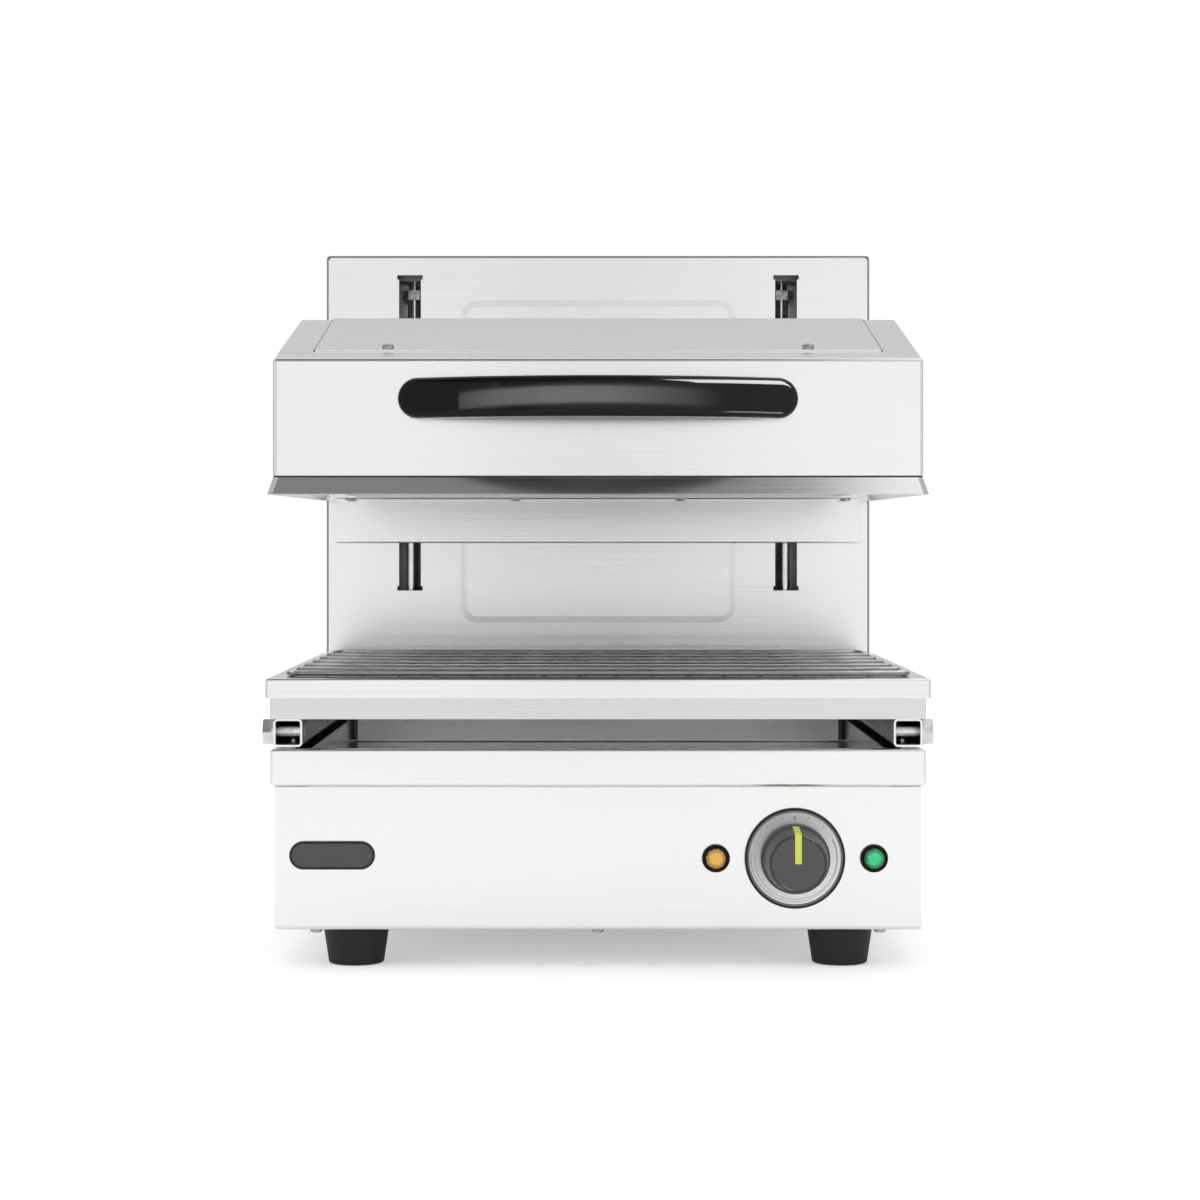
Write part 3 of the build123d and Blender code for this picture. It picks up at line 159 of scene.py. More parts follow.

# Places where metal is darker with painted shade, or rougher or smoother than the rest
FRONT_EDGE_FACING = -0.7  # edges of the column's shell that face the front, darkened as painted shade
FRONT_EDGE_SHADE_TONE = 0.30
INWARD_FACING = -0.1  # faces of the rails towards the tray, darkened as painted shade
INWARD_SHADE_TONE = 0.22
PAN_BEHIND = 0.012  # the tray behind its lip, darkened as painted shade
PAN_SHADE_TONE = 0.80
BELOW_DECK_SHADE_TONE = 0.10  # the column under the deck, darkened as painted shade
WIRE_TOP_FACING = 0.3  # the grid's wires are darker with painted shade below this lean
WIRE_SIDE_SHADE_TONE = 0.38
SKIRT_ROUGHNESS = 0.19
DECK_ROUGHNESS = 0.12
DECK_SPREAD = 0.02
PRESSED_FROM = -0.995  # slopes of the column's bead
PRESSED_TO = -0.9
PRESSED_ROUGHNESS = 0.30
PRESSED_SOFTNESS = 0.8  # how far the slopes' shading turns to the front

# Screws that hold the rear cover
SCREW_R = 0.0036
SCREW_RISE = 0.0016
SCREW_RINGS = 6
SCREW_SIDES = 28
RECESS_R = 0.0019
RECESS_WIDTH = 0.0007
RECESS_DEPTH = 0.0009
SCREW_EDGE = 0.0075  # in from the cover's edge

# Floor and world
WHITE = (1, 1, 1, 1)
FLOOR_HALF = 4.0
FLOOR_DROP = 0.0004
FLOOR_TONE = 0.80
FLOOR_ROUGHNESS = 0.9
FLOOR_SPECULAR = 0.1
FLOOR_GLOW = 0.42  # near the grill
FAR_GLOW = 1.0
GLOW_NEAR = 0.8
GLOW_FAR = 3.0
AMBIENT = 0.62
BACKDROP = 1.0
MIRROR_GLOW = 0.26  # of the floor ahead of the grill, in reflections
MIRROR_FULL_Y = -0.35
MIRROR_NONE_Y = 0.10
MIRROR_FULL_X = 0.6  # to either side
MIRROR_NONE_X = 1.1

# Flags, cards that only reflections show: two narrow ones ahead, one above the other
FLAG_NEAR_Y = -2.4
FLAG_NEAR_HALF = 0.13
FLAG_LOW_FROM = 0.17
FLAG_LOW_TO = 0.38
FLAG_LOW_TONE = 0.20
FLAG_HIGH_FROM = 0.60
FLAG_HIGH_TO = 1.40
FLAG_HIGH_TONE = 0.62

# Flags far ahead: a wide one high up, one under it on either side, and one low at the left
FLAG_FAR_Y = -2.6
FLAG_FAR_HALF = 2.6
FLAG_FAR_FROM = 1.9
FLAG_FAR_TO = 2.8
FLAG_FAR_TONE = 0.68
FLAG_ROUND_INNER = 0.45
FLAG_ROUND_FROM = 1.0
FLAG_ROUND_TONE = 0.46
FLAG_BEAD_LEFT = -1.6
FLAG_BEAD_RIGHT = -0.9
FLAG_BEAD_TO = 1.0
FLAG_BEAD_TONE = 0.45

# Flags at the front corners, as (x to either side, y), then beside, behind and above the grill
FLAG_SIDE_FRONT = (1.5, -2.2)
FLAG_SIDE_REAR = (2.2, -0.2)
FLAG_SIDE_TO = 2.0
FLAG_SIDE_TONE = 0.72
FLAG_BESIDE_X = 2.3
FLAG_BESIDE_FRONT = -0.2
FLAG_BESIDE_REAR = 1.7
FLAG_REAR_Y = 1.6
FLAG_REAR_HALF = 2.4
FLAG_REAR_TO = 2.2
FLAG_REAR_TONE = 0.60
FLAG_TOP_LEFT = -1.3
FLAG_TOP_RIGHT = 0.27
FLAG_TOP_FRONT = (-1.25, 0.95)  # y and z
FLAG_TOP_REAR = (0.1, 1.85)
FLAG_TOP_TONE = 0.20

# Softboxes
SOFTBOX_AIM = (0, 0, 0.25)
SOFTBOX_X = 1.7  # to either side
SOFTBOX_Y = -1.5
SOFTBOX_Z = 1.1
SOFTBOX_SIZE = 1.2
SOFTBOX_LEFT_WATTS = 16
SOFTBOX_RIGHT_WATTS = 14
SOFTBOX_REAR_PLACE = (0, 1.4, 1.9)
SOFTBOX_REAR_SIZE = 1.4
SOFTBOX_REAR_WATTS = 14

# Lamps that light only the handle or only the knob's rim
LAMP_WATTS = 4.0  # of a lamp, per square metre and unit of radiance
STRIP_AHEAD = 0.14  # of the handle's front
STRIP_LIFT = 0.008  # above the handle's middle
STRIP_HEIGHT = 0.0125
STRIP_LEFT = -0.27
STRIP_RIGHT = 0.24
STRIP_RADIANCE = 7.0
STRIP_FADE_SHARES = (  # of the strip's length, and of its brightness there
    (0, 0.4),
    (0.22, 0.85),
    (0.4, 1.0),
    (0.55, 0.95),
    (0.75, 0.45),
    (0.9, 0.12),
    (1, 0),
)
HANDLE_END_X = 0.06  # where the two boxes aim
HIGH_BOX_PLACE = (0.62, -0.62, 0.78)
HIGH_BOX_WIDTH = 0.66
HIGH_BOX_HEIGHT = 0.60
HIGH_BOX_RADIANCE = 34
LOW_BOX_PLACE = (0.62, -0.55, 0.12)
LOW_BOX_WIDTH = 0.30
LOW_BOX_HEIGHT = 0.20
LOW_BOX_RADIANCE = 10
RIM_BOX_PLACE = (0.62, -0.95, 0.75)
RIM_BOX_SIDE = 0.40
RIM_BOX_RADIANCE = 22

nodes = frame["nodes"]


def grey(tone):
    """A colour without hue."""
    return (tone, tone, tone)


def new_material(name):
    """A node material and its principled shader."""
    material = bpy.data.materials.new(name)
    material.use_nodes = True
    return material, material.node_tree.nodes["Principled BSDF"]


def add_node(material, kind, **settings):
    """A node of that kind with its settings, in a material, a world or a lamp."""
    node = material.node_tree.nodes.new(kind)
    for key, value in settings.items():
        setattr(node, key, value)
    return node


def link(material, source, target):
    """Join an output to an input."""
    material.node_tree.links.new(source, target)


def feed(material, node, values):
    """Fill a node's inputs in turn, from outputs or constants."""
    for target, value in zip(node.inputs, values):
        if isinstance(value, bpy.types.NodeSocket):
            link(material, value, target)
        else:
            target.default_value = value


def calculate(material, operation, *values):
    """The result of a sum on outputs or constants."""
    node = add_node(material, "ShaderNodeMath", operation=operation)
    feed(material, node, values)
    return node.outputs["Value"]


def calculate_vector(material, operation, *values):
    """The outputs of a sum on vectors."""
    node = add_node(material, "ShaderNodeVectorMath", operation=operation)
    feed(material, node, values)
    return node.outputs


def mix_node(material, kind, **settings):
    """The factor, the two inputs and the output of a blend of that kind."""
    node = add_node(material, "ShaderNodeMix", data_type=kind, **settings)
    first, second = [socket for socket in node.inputs if socket.type == kind and socket.name in ("A", "B")]
    mixed = [socket for socket in node.outputs if socket.type == kind][0]
    return node.inputs["Factor"], first, second, mixed


def set_surface(shader, colour, roughness, metallic=0.0, coat=0.0):
    """Constant values of a shader."""
    shader.inputs["Base Color"].default_value = (*colour, 1)
    shader.inputs["Roughness"].default_value = roughness
    shader.inputs["Metallic"].default_value = metallic
    shader.inputs["Coat Weight"].default_value = coat


def map_range(material, source, low, high, from_low=NOISE_FROM, from_high=NOISE_TO):
    """Spread a value over a range and give the output."""
    node = add_node(material, "ShaderNodeMapRange")
    node.inputs["From Min"].default_value = from_low
    node.inputs["From Max"].default_value = from_high
    node.inputs["To Min"].default_value = low
    node.inputs["To Max"].default_value = high
    link(material, source, node.inputs["Value"])
    return node.outputs["Result"]


def mix_colours(material, share, first, second):
    """Blend two colours by a value and give the output."""
    factor, start, end, mixed = mix_node(material, "RGBA")
    link(material, share, factor)
    start.default_value = (*first, 1)
    end.default_value = (*second, 1)
    return mixed


def toned(material, colour, place, tone):
    """The colour, darkened with painted shade where the place is 1."""
    factor, own, shade, mixed = mix_node(material, "RGBA", blend_type="MULTIPLY")
    link(material, place, factor)
    link(material, colour, own)
    shade.default_value = (*grey(tone), 1)
    return mixed


def noise(material, vector, scale):
    """A noise value over the given coordinates."""
    node = add_node(material, "ShaderNodeTexNoise")
    node.inputs["Scale"].default_value = scale
    node.inputs["Detail"].default_value = NOISE_DETAIL
    link(material, vector, node.inputs["Vector"])
    return node.outputs["Fac"]


def turn_to_front(material, normal, share):
    """The normal, turned towards the front by a share."""
    factor, own, front, mixed = mix_node(material, "VECTOR")
    link(material, share, factor)
    link(material, normal, own)
    front.default_value = (0, -1, 0)
    return calculate_vector(material, "NORMALIZE", mixed)["Vector"]


def bump(material, shader, height, strength, distance, rounded=True, soften=None):
    """Relief on the shader, over edges that look slightly rounded and slopes that look softer."""
    node = add_node(material, "ShaderNodeBump")
    node.inputs["Strength"].default_value = strength
    node.inputs["Distance"].default_value = distance
    link(material, height, node.inputs["Height"])
    if rounded:
        edge = add_node(material, "ShaderNodeBevel", samples=EDGE_SAMPLES)
        edge.inputs["Radius"].default_value = EDGE_ROUND
        normal = edge.outputs["Normal"]
        if soften:
            normal = turn_to_front(material, normal, soften)
        link(material, normal, node.inputs["Normal"])
    link(material, node.outputs["Normal"], shader.inputs["Normal"])


def object_place(material):
    """Where a point is on its object."""
    return add_node(material, "ShaderNodeTexCoord").outputs["Object"]


def split_vector(material, socket_name):
    """The three parts of an object coordinate or normal."""
    coords = add_node(material, "ShaderNodeTexCoord")
    split = add_node(material, "ShaderNodeSeparateXYZ")
    link(material, coords.outputs[socket_name], split.inputs["Vector"])
    return split.outputs


def grain_vector(material):
    """Object coordinates, and the same stretched along the brushing: X on most faces, Y on the sides."""
    place = object_place(material)
    lean = calculate(material, "ABSOLUTE", split_vector(material, "Normal")["X"])
    factor, *ways, grain = mix_node(material, "VECTOR")
    link(material, calculate(material, "GREATER_THAN", lean, SIDE_FACING), factor)
    stretches = (
        (GRAIN_ALONG, GRAIN_ACROSS, GRAIN_ACROSS),
        (GRAIN_ACROSS, GRAIN_ALONG, GRAIN_ACROSS),
    )
    for way, stretch in zip(ways, stretches):
        mapping = add_node(material, "ShaderNodeMapping")
        mapping.inputs["Scale"].default_value = stretch
        link(material, place, mapping.inputs["Vector"])
        link(material, mapping.outputs["Vector"], way)
    return place, grain


def front_edge_painted_shade(material):
    """1 on edges that face the front, where painted shade darkens the column's shell."""
    return calculate(material, "LESS_THAN", split_vector(material, "Normal")["Y"], FRONT_EDGE_FACING)


def rail_inner_painted_shade(material):
    """1 on faces that look towards the middle of the object, which painted shade darkens on the rails."""
    lean = split_vector(material, "Normal")["X"]
    side = split_vector(material, "Object")["X"]
    return calculate(material, "LESS_THAN", calculate(material, "MULTIPLY", lean, side), INWARD_FACING)


def pan_painted_shade(material):
    """1 on the drip tray's pan, behind its folded lip, where painted shade darkens it."""
    lip_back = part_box("drip_tray")[0].y + PAN_BEHIND
    return calculate(material, "GREATER_THAN", split_vector(material, "Object")["Y"], lip_back)


def below_deck_painted_shade(material):
    """1 lower than the deck, where painted shade darkens the column."""
    deck_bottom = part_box("deck_top")[0].z
    return calculate(material, "LESS_THAN", split_vector(material, "Object")["Z"], deck_bottom)


def wire_sides_painted_shade(material):
    """1 on the sides and undersides of wire, darkened as painted shade."""
    return calculate(material, "LESS_THAN", split_vector(material, "Normal")["Z"], WIRE_TOP_FACING)


def pressed_slopes(material):
    """1 on faces that lean a little away from the front."""
    lean = split_vector(material, "Normal")["Y"]
    leaves_front = calculate(material, "GREATER_THAN", lean, PRESSED_FROM)
    stays_near = calculate(material, "LESS_THAN", lean, PRESSED_TO)
    return calculate(material, "MULTIPLY", leaves_front, stays_near)


def brushed(
    name,
    bright=STEEL_BRIGHT,
    dark=STEEL_DARK,
    roughness=STEEL_ROUGHNESS,
    spread=STEEL_SPREAD,
    place=None,
    tone=1.0,
    pressed=False,
):
    """Brushed sheet: fine streaks in tone, gloss and relief, with faint clouds of handling.

    A place function and its tone darken some of the faces with painted shade, and pressed slopes are
    rougher.
    """
    material, shader = new_material(name)
    set_surface(shader, bright, roughness, metallic=1.0)
    where, grain = grain_vector(material)
    streaks = noise(material, grain, 1.0)
    clouds = noise(material, where, CLOUD_SCALE)
    colour = mix_colours(material, map_range(material, streaks, 0, 1), dark, bright)
    if place:
        colour = toned(material, colour, place(material), tone)
    link(material, colour, shader.inputs["Base Color"])
    gloss = calculate(
        material,
        "ADD",
        map_range(material, streaks, roughness - spread, roughness + spread),
        map_range(material, clouds, -spread / 2, spread / 2),
    )
    soften = None
    if pressed:
        slopes = pressed_slopes(material)
        rougher = map_range(material, slopes, 0, PRESSED_ROUGHNESS - roughness, 0, 1)
        gloss = calculate(material, "ADD", gloss, rougher)
        soften = map_range(material, slopes, 0, PRESSED_SOFTNESS, 0, 1)
    link(material, gloss, shader.inputs["Roughness"])
    bump(material, shader, streaks, BRUSH_RELIEF, BRUSH_DEPTH, soften=soften)
    return material


def metal(name, bright, dark, roughness, scale, depth=METAL_DEPTH, place=None, tone=1.0):
    """Plain metal with fine mottling. A place function and its tone darken some of the faces with painted
    shade.
    """
    material, shader = new_material(name)
    set_surface(shader, bright, roughness, metallic=1.0)
    mottle = noise(material, object_place(material), scale)
    colour = mix_colours(material, map_range(material, mottle, 0, 1), dark, bright)
    if place:
        colour = toned(material, colour, place(material), tone)
    link(material, colour, shader.inputs["Base Color"])
    gloss = map_range(material, mottle, roughness * METAL_ROUGHER, roughness * METAL_SMOOTHER)
    link(material, gloss, shader.inputs["Roughness"])
    bump(material, shader, mottle, METAL_RELIEF, depth, rounded=False)
    return material


def moulded(name, bright, dark, roughness, scale, depth=SKIN_DEPTH, ior=PLASTIC_IOR):
    """Moulded plastic or rubber with a fine skin."""
    material, shader = new_material(name)
    set_surface(shader, bright, roughness)
    shader.inputs["IOR"].default_value = ior
    skin = noise(material, object_place(material), scale)
    colour = mix_colours(material, map_range(material, skin, 0, 1), dark, bright)
    link(material, colour, shader.inputs["Base Color"])
    gloss = map_range(material, skin, roughness * SKIN_ROUGHER, roughness * SKIN_SMOOTHER)
    link(material, gloss, shader.inputs["Roughness"])
    bump(material, shader, skin, SKIN_RELIEF, depth)
    return material


def distance_from_axis(material, centre):
    """How far a point is from an axis along Y through the centre, the way to it, and its place."""
    place = object_place(material)
    shift = calculate_vector(material, "SUBTRACT", place, centre)["Vector"]
    arm = calculate_vector(material, "MULTIPLY", shift, (1, 0, 1))["Vector"]
    return calculate_vector(material, "LENGTH", arm)["Value"], arm, place


def turned(name, bright, dark, roughness, centre, rings, sheen):
    """Metal spun about an axis: fine rings, and a painted sheen, brighter towards one side."""
    material, shader = new_material(name)
    set_surface(shader, bright, roughness, metallic=1.0)
    radius, arm, _ = distance_from_axis(material, centre)
    ring = add_node(material, "ShaderNodeTexNoise", noise_dimensions="1D")
    ring.inputs["Scale"].default_value = rings
    link(material, radius, ring.inputs["W"])
    grooves = ring.outputs["Fac"]
    way = calculate_vector(material, "NORMALIZE", arm)["Vector"]
    towards = calculate_vector(material, "DOT_PRODUCT", way, sheen)["Value"]
    tone = calculate(
        material,
        "ADD",
        map_range(material, towards, 0, PAINTED_SHEEN_SHARE, -1, 1),
        map_range(material, grooves, 0, 1 - PAINTED_SHEEN_SHARE),
    )
    link(material, mix_colours(material, tone, dark, bright), shader.inputs["Base Color"])
    bump(material, shader, grooves, GROOVE_RELIEF, GROOVE_DEPTH, rounded=False)
    return material


def ringed(name, slope, edge, roughness, centre, edge_from):
    """Black moulding with a bare slope inside a radius."""
    material, shader = new_material(name)
    set_surface(shader, edge, roughness)
    shader.inputs["IOR"].default_value = BEZEL_IOR
    radius, _, place = distance_from_axis(material, centre)
    skin = noise(material, place, BEZEL_SKIN)
    uneven = calculate(material, "ADD", radius, map_range(material, skin, -BEZEL_UNEVEN, BEZEL_UNEVEN))
    outside = map_range(material, uneven, 0, 1, edge_from - BEZEL_FADE_IN, edge_from + BEZEL_FADE_OUT)
    link(material, mix_colours(material, outside, slope, edge), shader.inputs["Base Color"])
    gloss = map_range(material, skin, roughness * SKIN_ROUGHER, roughness * SKIN_SMOOTHER)
    link(material, gloss, shader.inputs["Roughness"])
    bump(material, shader, skin, BEZEL_RELIEF, BEZEL_DEPTH)
    return material


def lens(name, heart, body, rim, centre, radius):
    """Coloured lamp lens: a bright faceted heart, deep colour round it, dark at the rim."""
    material, shader = new_material(name)
    set_surface(shader, body, LENS_ROUGHNESS, coat=LENS_COAT)
    away, _, place = distance_from_axis(material, centre)
    facets = add_node(material, "ShaderNodeTexVoronoi")
    facets.inputs["Scale"].default_value = LENS_FACETS
    link(material, place, facets.inputs["Vector"])
    facet = facets.outputs["Distance"]
    share = map_range(material, away, 0, 1, 0, radius)
    sway = map_range(material, facet, -LENS_UNEVEN, LENS_UNEVEN, 0, FACET_REACH)
    ramp = add_node(material, "ShaderNodeValToRGB")
    stops = ramp.color_ramp.elements
    stops[0].color = (*heart, 1)
    stops[1].color = (*rim, 1)
    stops.new(LENS_HEART_SHARE).color = (*heart, 1)
    for body_share in LENS_BODY_SHARES:
        stops.new(body_share).color = (*body, 1)
    stops.new(LENS_RIM_SHARE).color = (*rim, 1)
    link(material, calculate(material, "ADD", share, sway), ramp.inputs["Fac"])
    link(material, ramp.outputs["Color"], shader.inputs["Base Color"])
    link(material, ramp.outputs["Color"], shader.inputs["Emission Color"])
    shader.inputs["Emission Strength"].default_value = LENS_GLOW
    bump(material, shader, facet, FACET_RELIEF, FACET_DEPTH, rounded=False)
    return material


def centre_of(node):
    """The middle of a CAD node's box."""
    low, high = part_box(node)
    return (low + high) / 2


knob_axis = centre_of("control_knob")
amber_axis = centre_of("amber_lamp_lens")
green_axis = centre_of("green_lamp_lens")
lens_low, lens_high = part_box("amber_lamp_lens")
lens_r = (lens_high.x - lens_low.x) / 2

# Materials of the slots: scales are repeats per metre, depths are metres
slot_materials = {
    "stainless": brushed("stainless"),
    "plated_sheet": brushed(
        "plated_sheet", bright=(0.66, 0.67, 0.68), dark=(0.56, 0.57, 0.58), roughness=0.38, spread=0.05
    ),
    # painted shade: the grid's wires are darkened on their sides and undersides
    "wire_chrome": metal(
        "wire_chrome",
        bright=grey(0.84),
        dark=grey(0.70),
        roughness=0.16,
        scale=60,
        place=wire_sides_painted_shade,
        tone=WIRE_SIDE_SHADE_TONE,
    ),
    "ground_rod": metal(
        "ground_rod", bright=(0.96, 0.96, 0.965), dark=(0.90, 0.90, 0.905), roughness=0.22, scale=200
    ),
    "zinc_fastener": metal(
        "zinc_fastener", bright=(0.50, 0.50, 0.49), dark=(0.34, 0.34, 0.33), roughness=0.26, scale=260
    ),
    "bronze_bush": metal(
        "bronze_bush", bright=(0.66, 0.46, 0.22), dark=(0.52, 0.34, 0.14), roughness=0.38, scale=300
    ),
    "element_sheath": metal(
        "element_sheath",
        bright=(0.20, 0.18, 0.17),
        dark=(0.08, 0.07, 0.07),
        roughness=0.50,
        scale=45,
        depth=0.0003,
    ),
    "insulation": moulded(
        "insulation",
        bright=(0.84, 0.82, 0.76),
        dark=(0.70, 0.67, 0.60),
        roughness=0.90,
        scale=400,
        depth=0.0006,
    ),
    "gas_spring_black": moulded(
        "gas_spring_black", bright=grey(0.006), dark=grey(0.003), roughness=0.34, scale=500, ior=1.25
    ),
    "black_gloss": moulded(
        "black_gloss",
        bright=grey(0.0015),
        dark=grey(0.0008),
        roughness=0.06,
        scale=700,
        depth=0.00001,
        ior=1.28,
    ),
    "knob_grey": moulded("knob_grey", bright=grey(0.085), dark=grey(0.06), roughness=0.36, scale=1600),
    "pointer_lime": moulded(
        "pointer_lime", bright=(0.72, 0.79, 0.13), dark=(0.64, 0.71, 0.09), roughness=0.40, scale=900
    ),
    # painted sheen: the dial plate is brighter towards one side
    "dial_silver": turned(
        "dial_silver",
        bright=grey(0.84),
        dark=grey(0.42),
        roughness=0.34,
        centre=knob_axis,
        rings=DIAL_RINGS,
        sheen=DIAL_PAINTED_SHEEN,
    ),
    "lens_amber": lens(
        "lens_amber",
        heart=(0.80, 0.46, 0.08),
        body=(0.46, 0.25, 0.05),
        rim=(0.05, 0.03, 0.01),
        centre=amber_axis,
        radius=lens_r,
    ),
    "lens_green": lens(
        "lens_green",
        heart=(0.03, 0.60, 0.24),
        body=(0.015, 0.25, 0.10),
        rim=(0.01, 0.05, 0.02),
        centre=green_axis,
        radius=lens_r,
    ),
    "foot_black": moulded(
        "foot_black", bright=grey(0.009), dark=grey(0.005), roughness=0.55, scale=900, depth=0.0002
    ),
    "dark_plastic": moulded("dark_plastic", bright=grey(0.03), dark=grey(0.02), roughness=0.50, scale=900),
    "pale_plastic": moulded(
        "pale_plastic", bright=(0.75, 0.74, 0.70), dark=(0.66, 0.65, 0.60), roughness=0.50, scale=900
    ),
}

# Materials of the trim
badge_face = moulded("badge_face", bright=grey(0.075), dark=grey(0.055), roughness=0.38, scale=2200)
badge_edge = moulded("badge_edge", bright=grey(0.010), dark=grey(0.006), roughness=0.50, scale=2200)
dial_ink = moulded("dial_ink", bright=grey(0.035), dark=grey(0.025), roughness=0.60, scale=2000)
rim_gloss = moulded("rim_gloss", bright=grey(0.02), dark=grey(0.014), roughness=0.18, scale=1800)
# painted shade: black of the dark strips in the hood's gaps
gap_shade_black = moulded("gap_shade_black", bright=grey(0.02), dark=grey(0.012), roughness=0.60, scale=1200)

# Variants for single CAD nodes: the sheet under the deck, for one, is darker with painted shade
bezel_black = ringed(
    "bezel_black",
    slope=grey(0.17),
    edge=grey(0.006),
    roughness=0.35,
    centre=knob_axis,
    edge_from=BEZEL_SLOPE_R,
)
# painted shade: the subframe strip under the deck's lip is darker all over
subframe_painted_shade_steel = brushed("subframe_painted_shade_steel", bright=(0.78, 0.78, 0.775), dark=(0.73, 0.73, 0.725), roughness=0.28)
# painted shade on the column shell's front-facing edges
shell_steel = brushed("shell_steel", place=front_edge_painted_shade, tone=FRONT_EDGE_SHADE_TONE)
# painted shade on the rails' faces towards the tray
rail_steel = brushed("rail_steel", place=rail_inner_painted_shade, tone=INWARD_SHADE_TONE)
# painted shade inside the drip tray's pan
tray_steel = brushed("tray_steel", place=pan_painted_shade, tone=PAN_SHADE_TONE)
# painted shade on the column's front panel under the deck
pressed_steel = brushed("pressed_steel", place=below_deck_painted_shade, tone=BELOW_DECK_SHADE_TONE, pressed=True)
skirt_steel = brushed("skirt_steel", roughness=SKIRT_ROUGHNESS)
deck_steel = brushed("deck_steel", roughness=DECK_ROUGHNESS, spread=DECK_SPREAD)
bright_zinc = metal(
    "bright_zinc", bright=(0.84, 0.84, 0.83), dark=(0.72, 0.72, 0.71), roughness=0.30, scale=260
)

# Every CAD node takes the material of its slot, or a variant of it
for part in frame["record"]["subparts"]:
    mesh = nodes[part["node"]].data
    mesh.materials.clear()
    mesh.materials.append(slot_materials[part["material_slot"]])
for node, variant in (
    ("deck_subframe", subframe_painted_shade_steel),
    ("column_shell", shell_steel),
    ("column_front_panel", pressed_steel),
    ("hood_skirt", skirt_steel),
    ("deck_top", deck_steel),
    ("left_rail", rail_steel),
    ("right_rail", rail_steel),
    ("drip_tray", tray_steel),
    ("rail_bolts", bright_zinc),
    ("dial_bezel", bezel_black),
):
    nodes[node].data.materials[0] = variant


def piece(name, mesh, material, body):
    """A new piece that rides on a body, with the material given."""
    obj = bpy.data.objects.new(name, mesh)
    bpy.context.scene.collection.objects.link(obj)
    mesh.materials.clear()
    mesh.materials.append(material)
    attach(obj, body)
    return obj


def mesh_from(name, build):
    """A mesh made by a function that fills a bmesh."""
    shape = bmesh.new()
    build(shape)
    bmesh.ops.recalc_face_normals(shape, faces=shape.faces)
    mesh = bpy.data.meshes.new(name)
    shape.to_mesh(mesh)
    shape.free()
    return mesh


def built_piece(name, build, material, body):
    """A new piece whose mesh is made by a function."""
    return piece(name, mesh_from(name, build), material, body)


def evaluated_mesh(obj, name):
    """The mesh of an object with its text or its modifiers worked out."""
    bpy.context.view_layer.update()
    mesh = bpy.data.meshes.new_from_object(obj.evaluated_get(bpy.context.evaluated_depsgraph_get()))
    mesh.name = name
    return mesh


def join_loops(shape, loops, closed):
    """Faces from loop to loop of points, with the last joined to the first or a cap at either end."""
    pairs = list(zip(loops, loops[1:]))
    if closed:
        pairs.append((loops[-1], loops[0]))
    else:
        shape.faces.new(loops[0])
        shape.faces.new(loops[-1])
    count = len(loops[0])
    for near, far in pairs:
        for i in range(count):
            j = (i + 1) % count
            shape.faces.new((near[i], near[j], far[j], far[i]))


def prism(shape, outline, back_y, front_y):
    """A closed prism between two Y planes from an outline of (x, z) points."""
    loops = [[shape.verts.new((x, y, z)) for x, z in outline] for y in (back_y, front_y)]
    join_loops(shape, loops, closed=False)


# Badge plate: a blank dark pill with a raised rim
panel_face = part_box("control_panel")[0].y
badge_front = panel_face - BADGE_THICK
badge_field = badge_front + BADGE_INSET
inner_length = BADGE_LENGTH - 2 * BADGE_RIM
inner_height = BADGE_HEIGHT - 2 * BADGE_RIM


def pill_outline(length, height):
    """Points round a pill shape at the badge's place."""
    r = height / 2
    reach = length / 2 - r
    points = []
    for side, start in ((1, -90), (-1, 90)):
        for i in range(PILL_STEPS + 1):
            a = math.radians(start + 180 * i / PILL_STEPS)
            points.append((BADGE_X + side * reach + r * math.cos(a), BADGE_Z + r * math.sin(a)))
    return points


def badge_rim_shape(shape):
    """The rim: an outer and an inner pill joined front and back."""
    outer = pill_outline(BADGE_LENGTH, BADGE_HEIGHT)
    inner = pill_outline(inner_length, inner_height)
    rings = ((outer, panel_face), (outer, badge_front), (inner, badge_front), (inner, panel_face))
    loops = [[shape.verts.new((x, y, z)) for x, z in outline] for outline, y in rings]
    join_loops(shape, loops, closed=True)


def badge_plate_shape(shape):
    """The field inside the rim."""
    prism(shape, pill_outline(inner_length, inner_height), panel_face, badge_field)


built_piece("badge_rim", badge_rim_shape, badge_edge, "base")
built_piece("badge_plate", badge_plate_shape, badge_face, "base")

# Dial scale: a wedge that widens clockwise, ticks and a plain number
ring_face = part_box("dial_plate")[0].y
mark_front = ring_face - MARK_THICK


def on_dial(radius, degrees):
    """A point of the dial, clockwise from the top."""
    a = math.radians(degrees)
    return knob_axis.x + radius * math.sin(a), knob_axis.z + radius * math.cos(a)


def wedge_line(shape, side):
    """A line along the wedge: -1 for the inner side, 1 for the outer."""
    rows = []
    for i in range(SCALE_STEPS + 1):
        share = i / SCALE_STEPS
        degrees = SCALE_FROM + (SCALE_TO - SCALE_FROM) * share
        half_width = (SCALE_THIN + (SCALE_WIDE - SCALE_THIN) * share) / 2
        radius = SCALE_R + side * half_width
        rows.append([on_dial(radius + edge * SCALE_LINE / 2, degrees) for edge in (-1, 1)])
    outline = [row[1] for row in rows] + [row[0] for row in reversed(rows)]
    prism(shape, outline, ring_face, mark_front)


def cross_line(shape, degrees, length, width):
    """A short line across the scale."""
    half_turn = math.degrees(width / 2 / SCALE_R)
    near_r = SCALE_R - length / 2
    far_r = SCALE_R + length / 2
    corners = [
        on_dial(near_r, degrees - half_turn),
        on_dial(far_r, degrees - half_turn),
        on_dial(far_r, degrees + half_turn),
        on_dial(near_r, degrees + half_turn),
    ]
    prism(shape, corners, ring_face, mark_front)


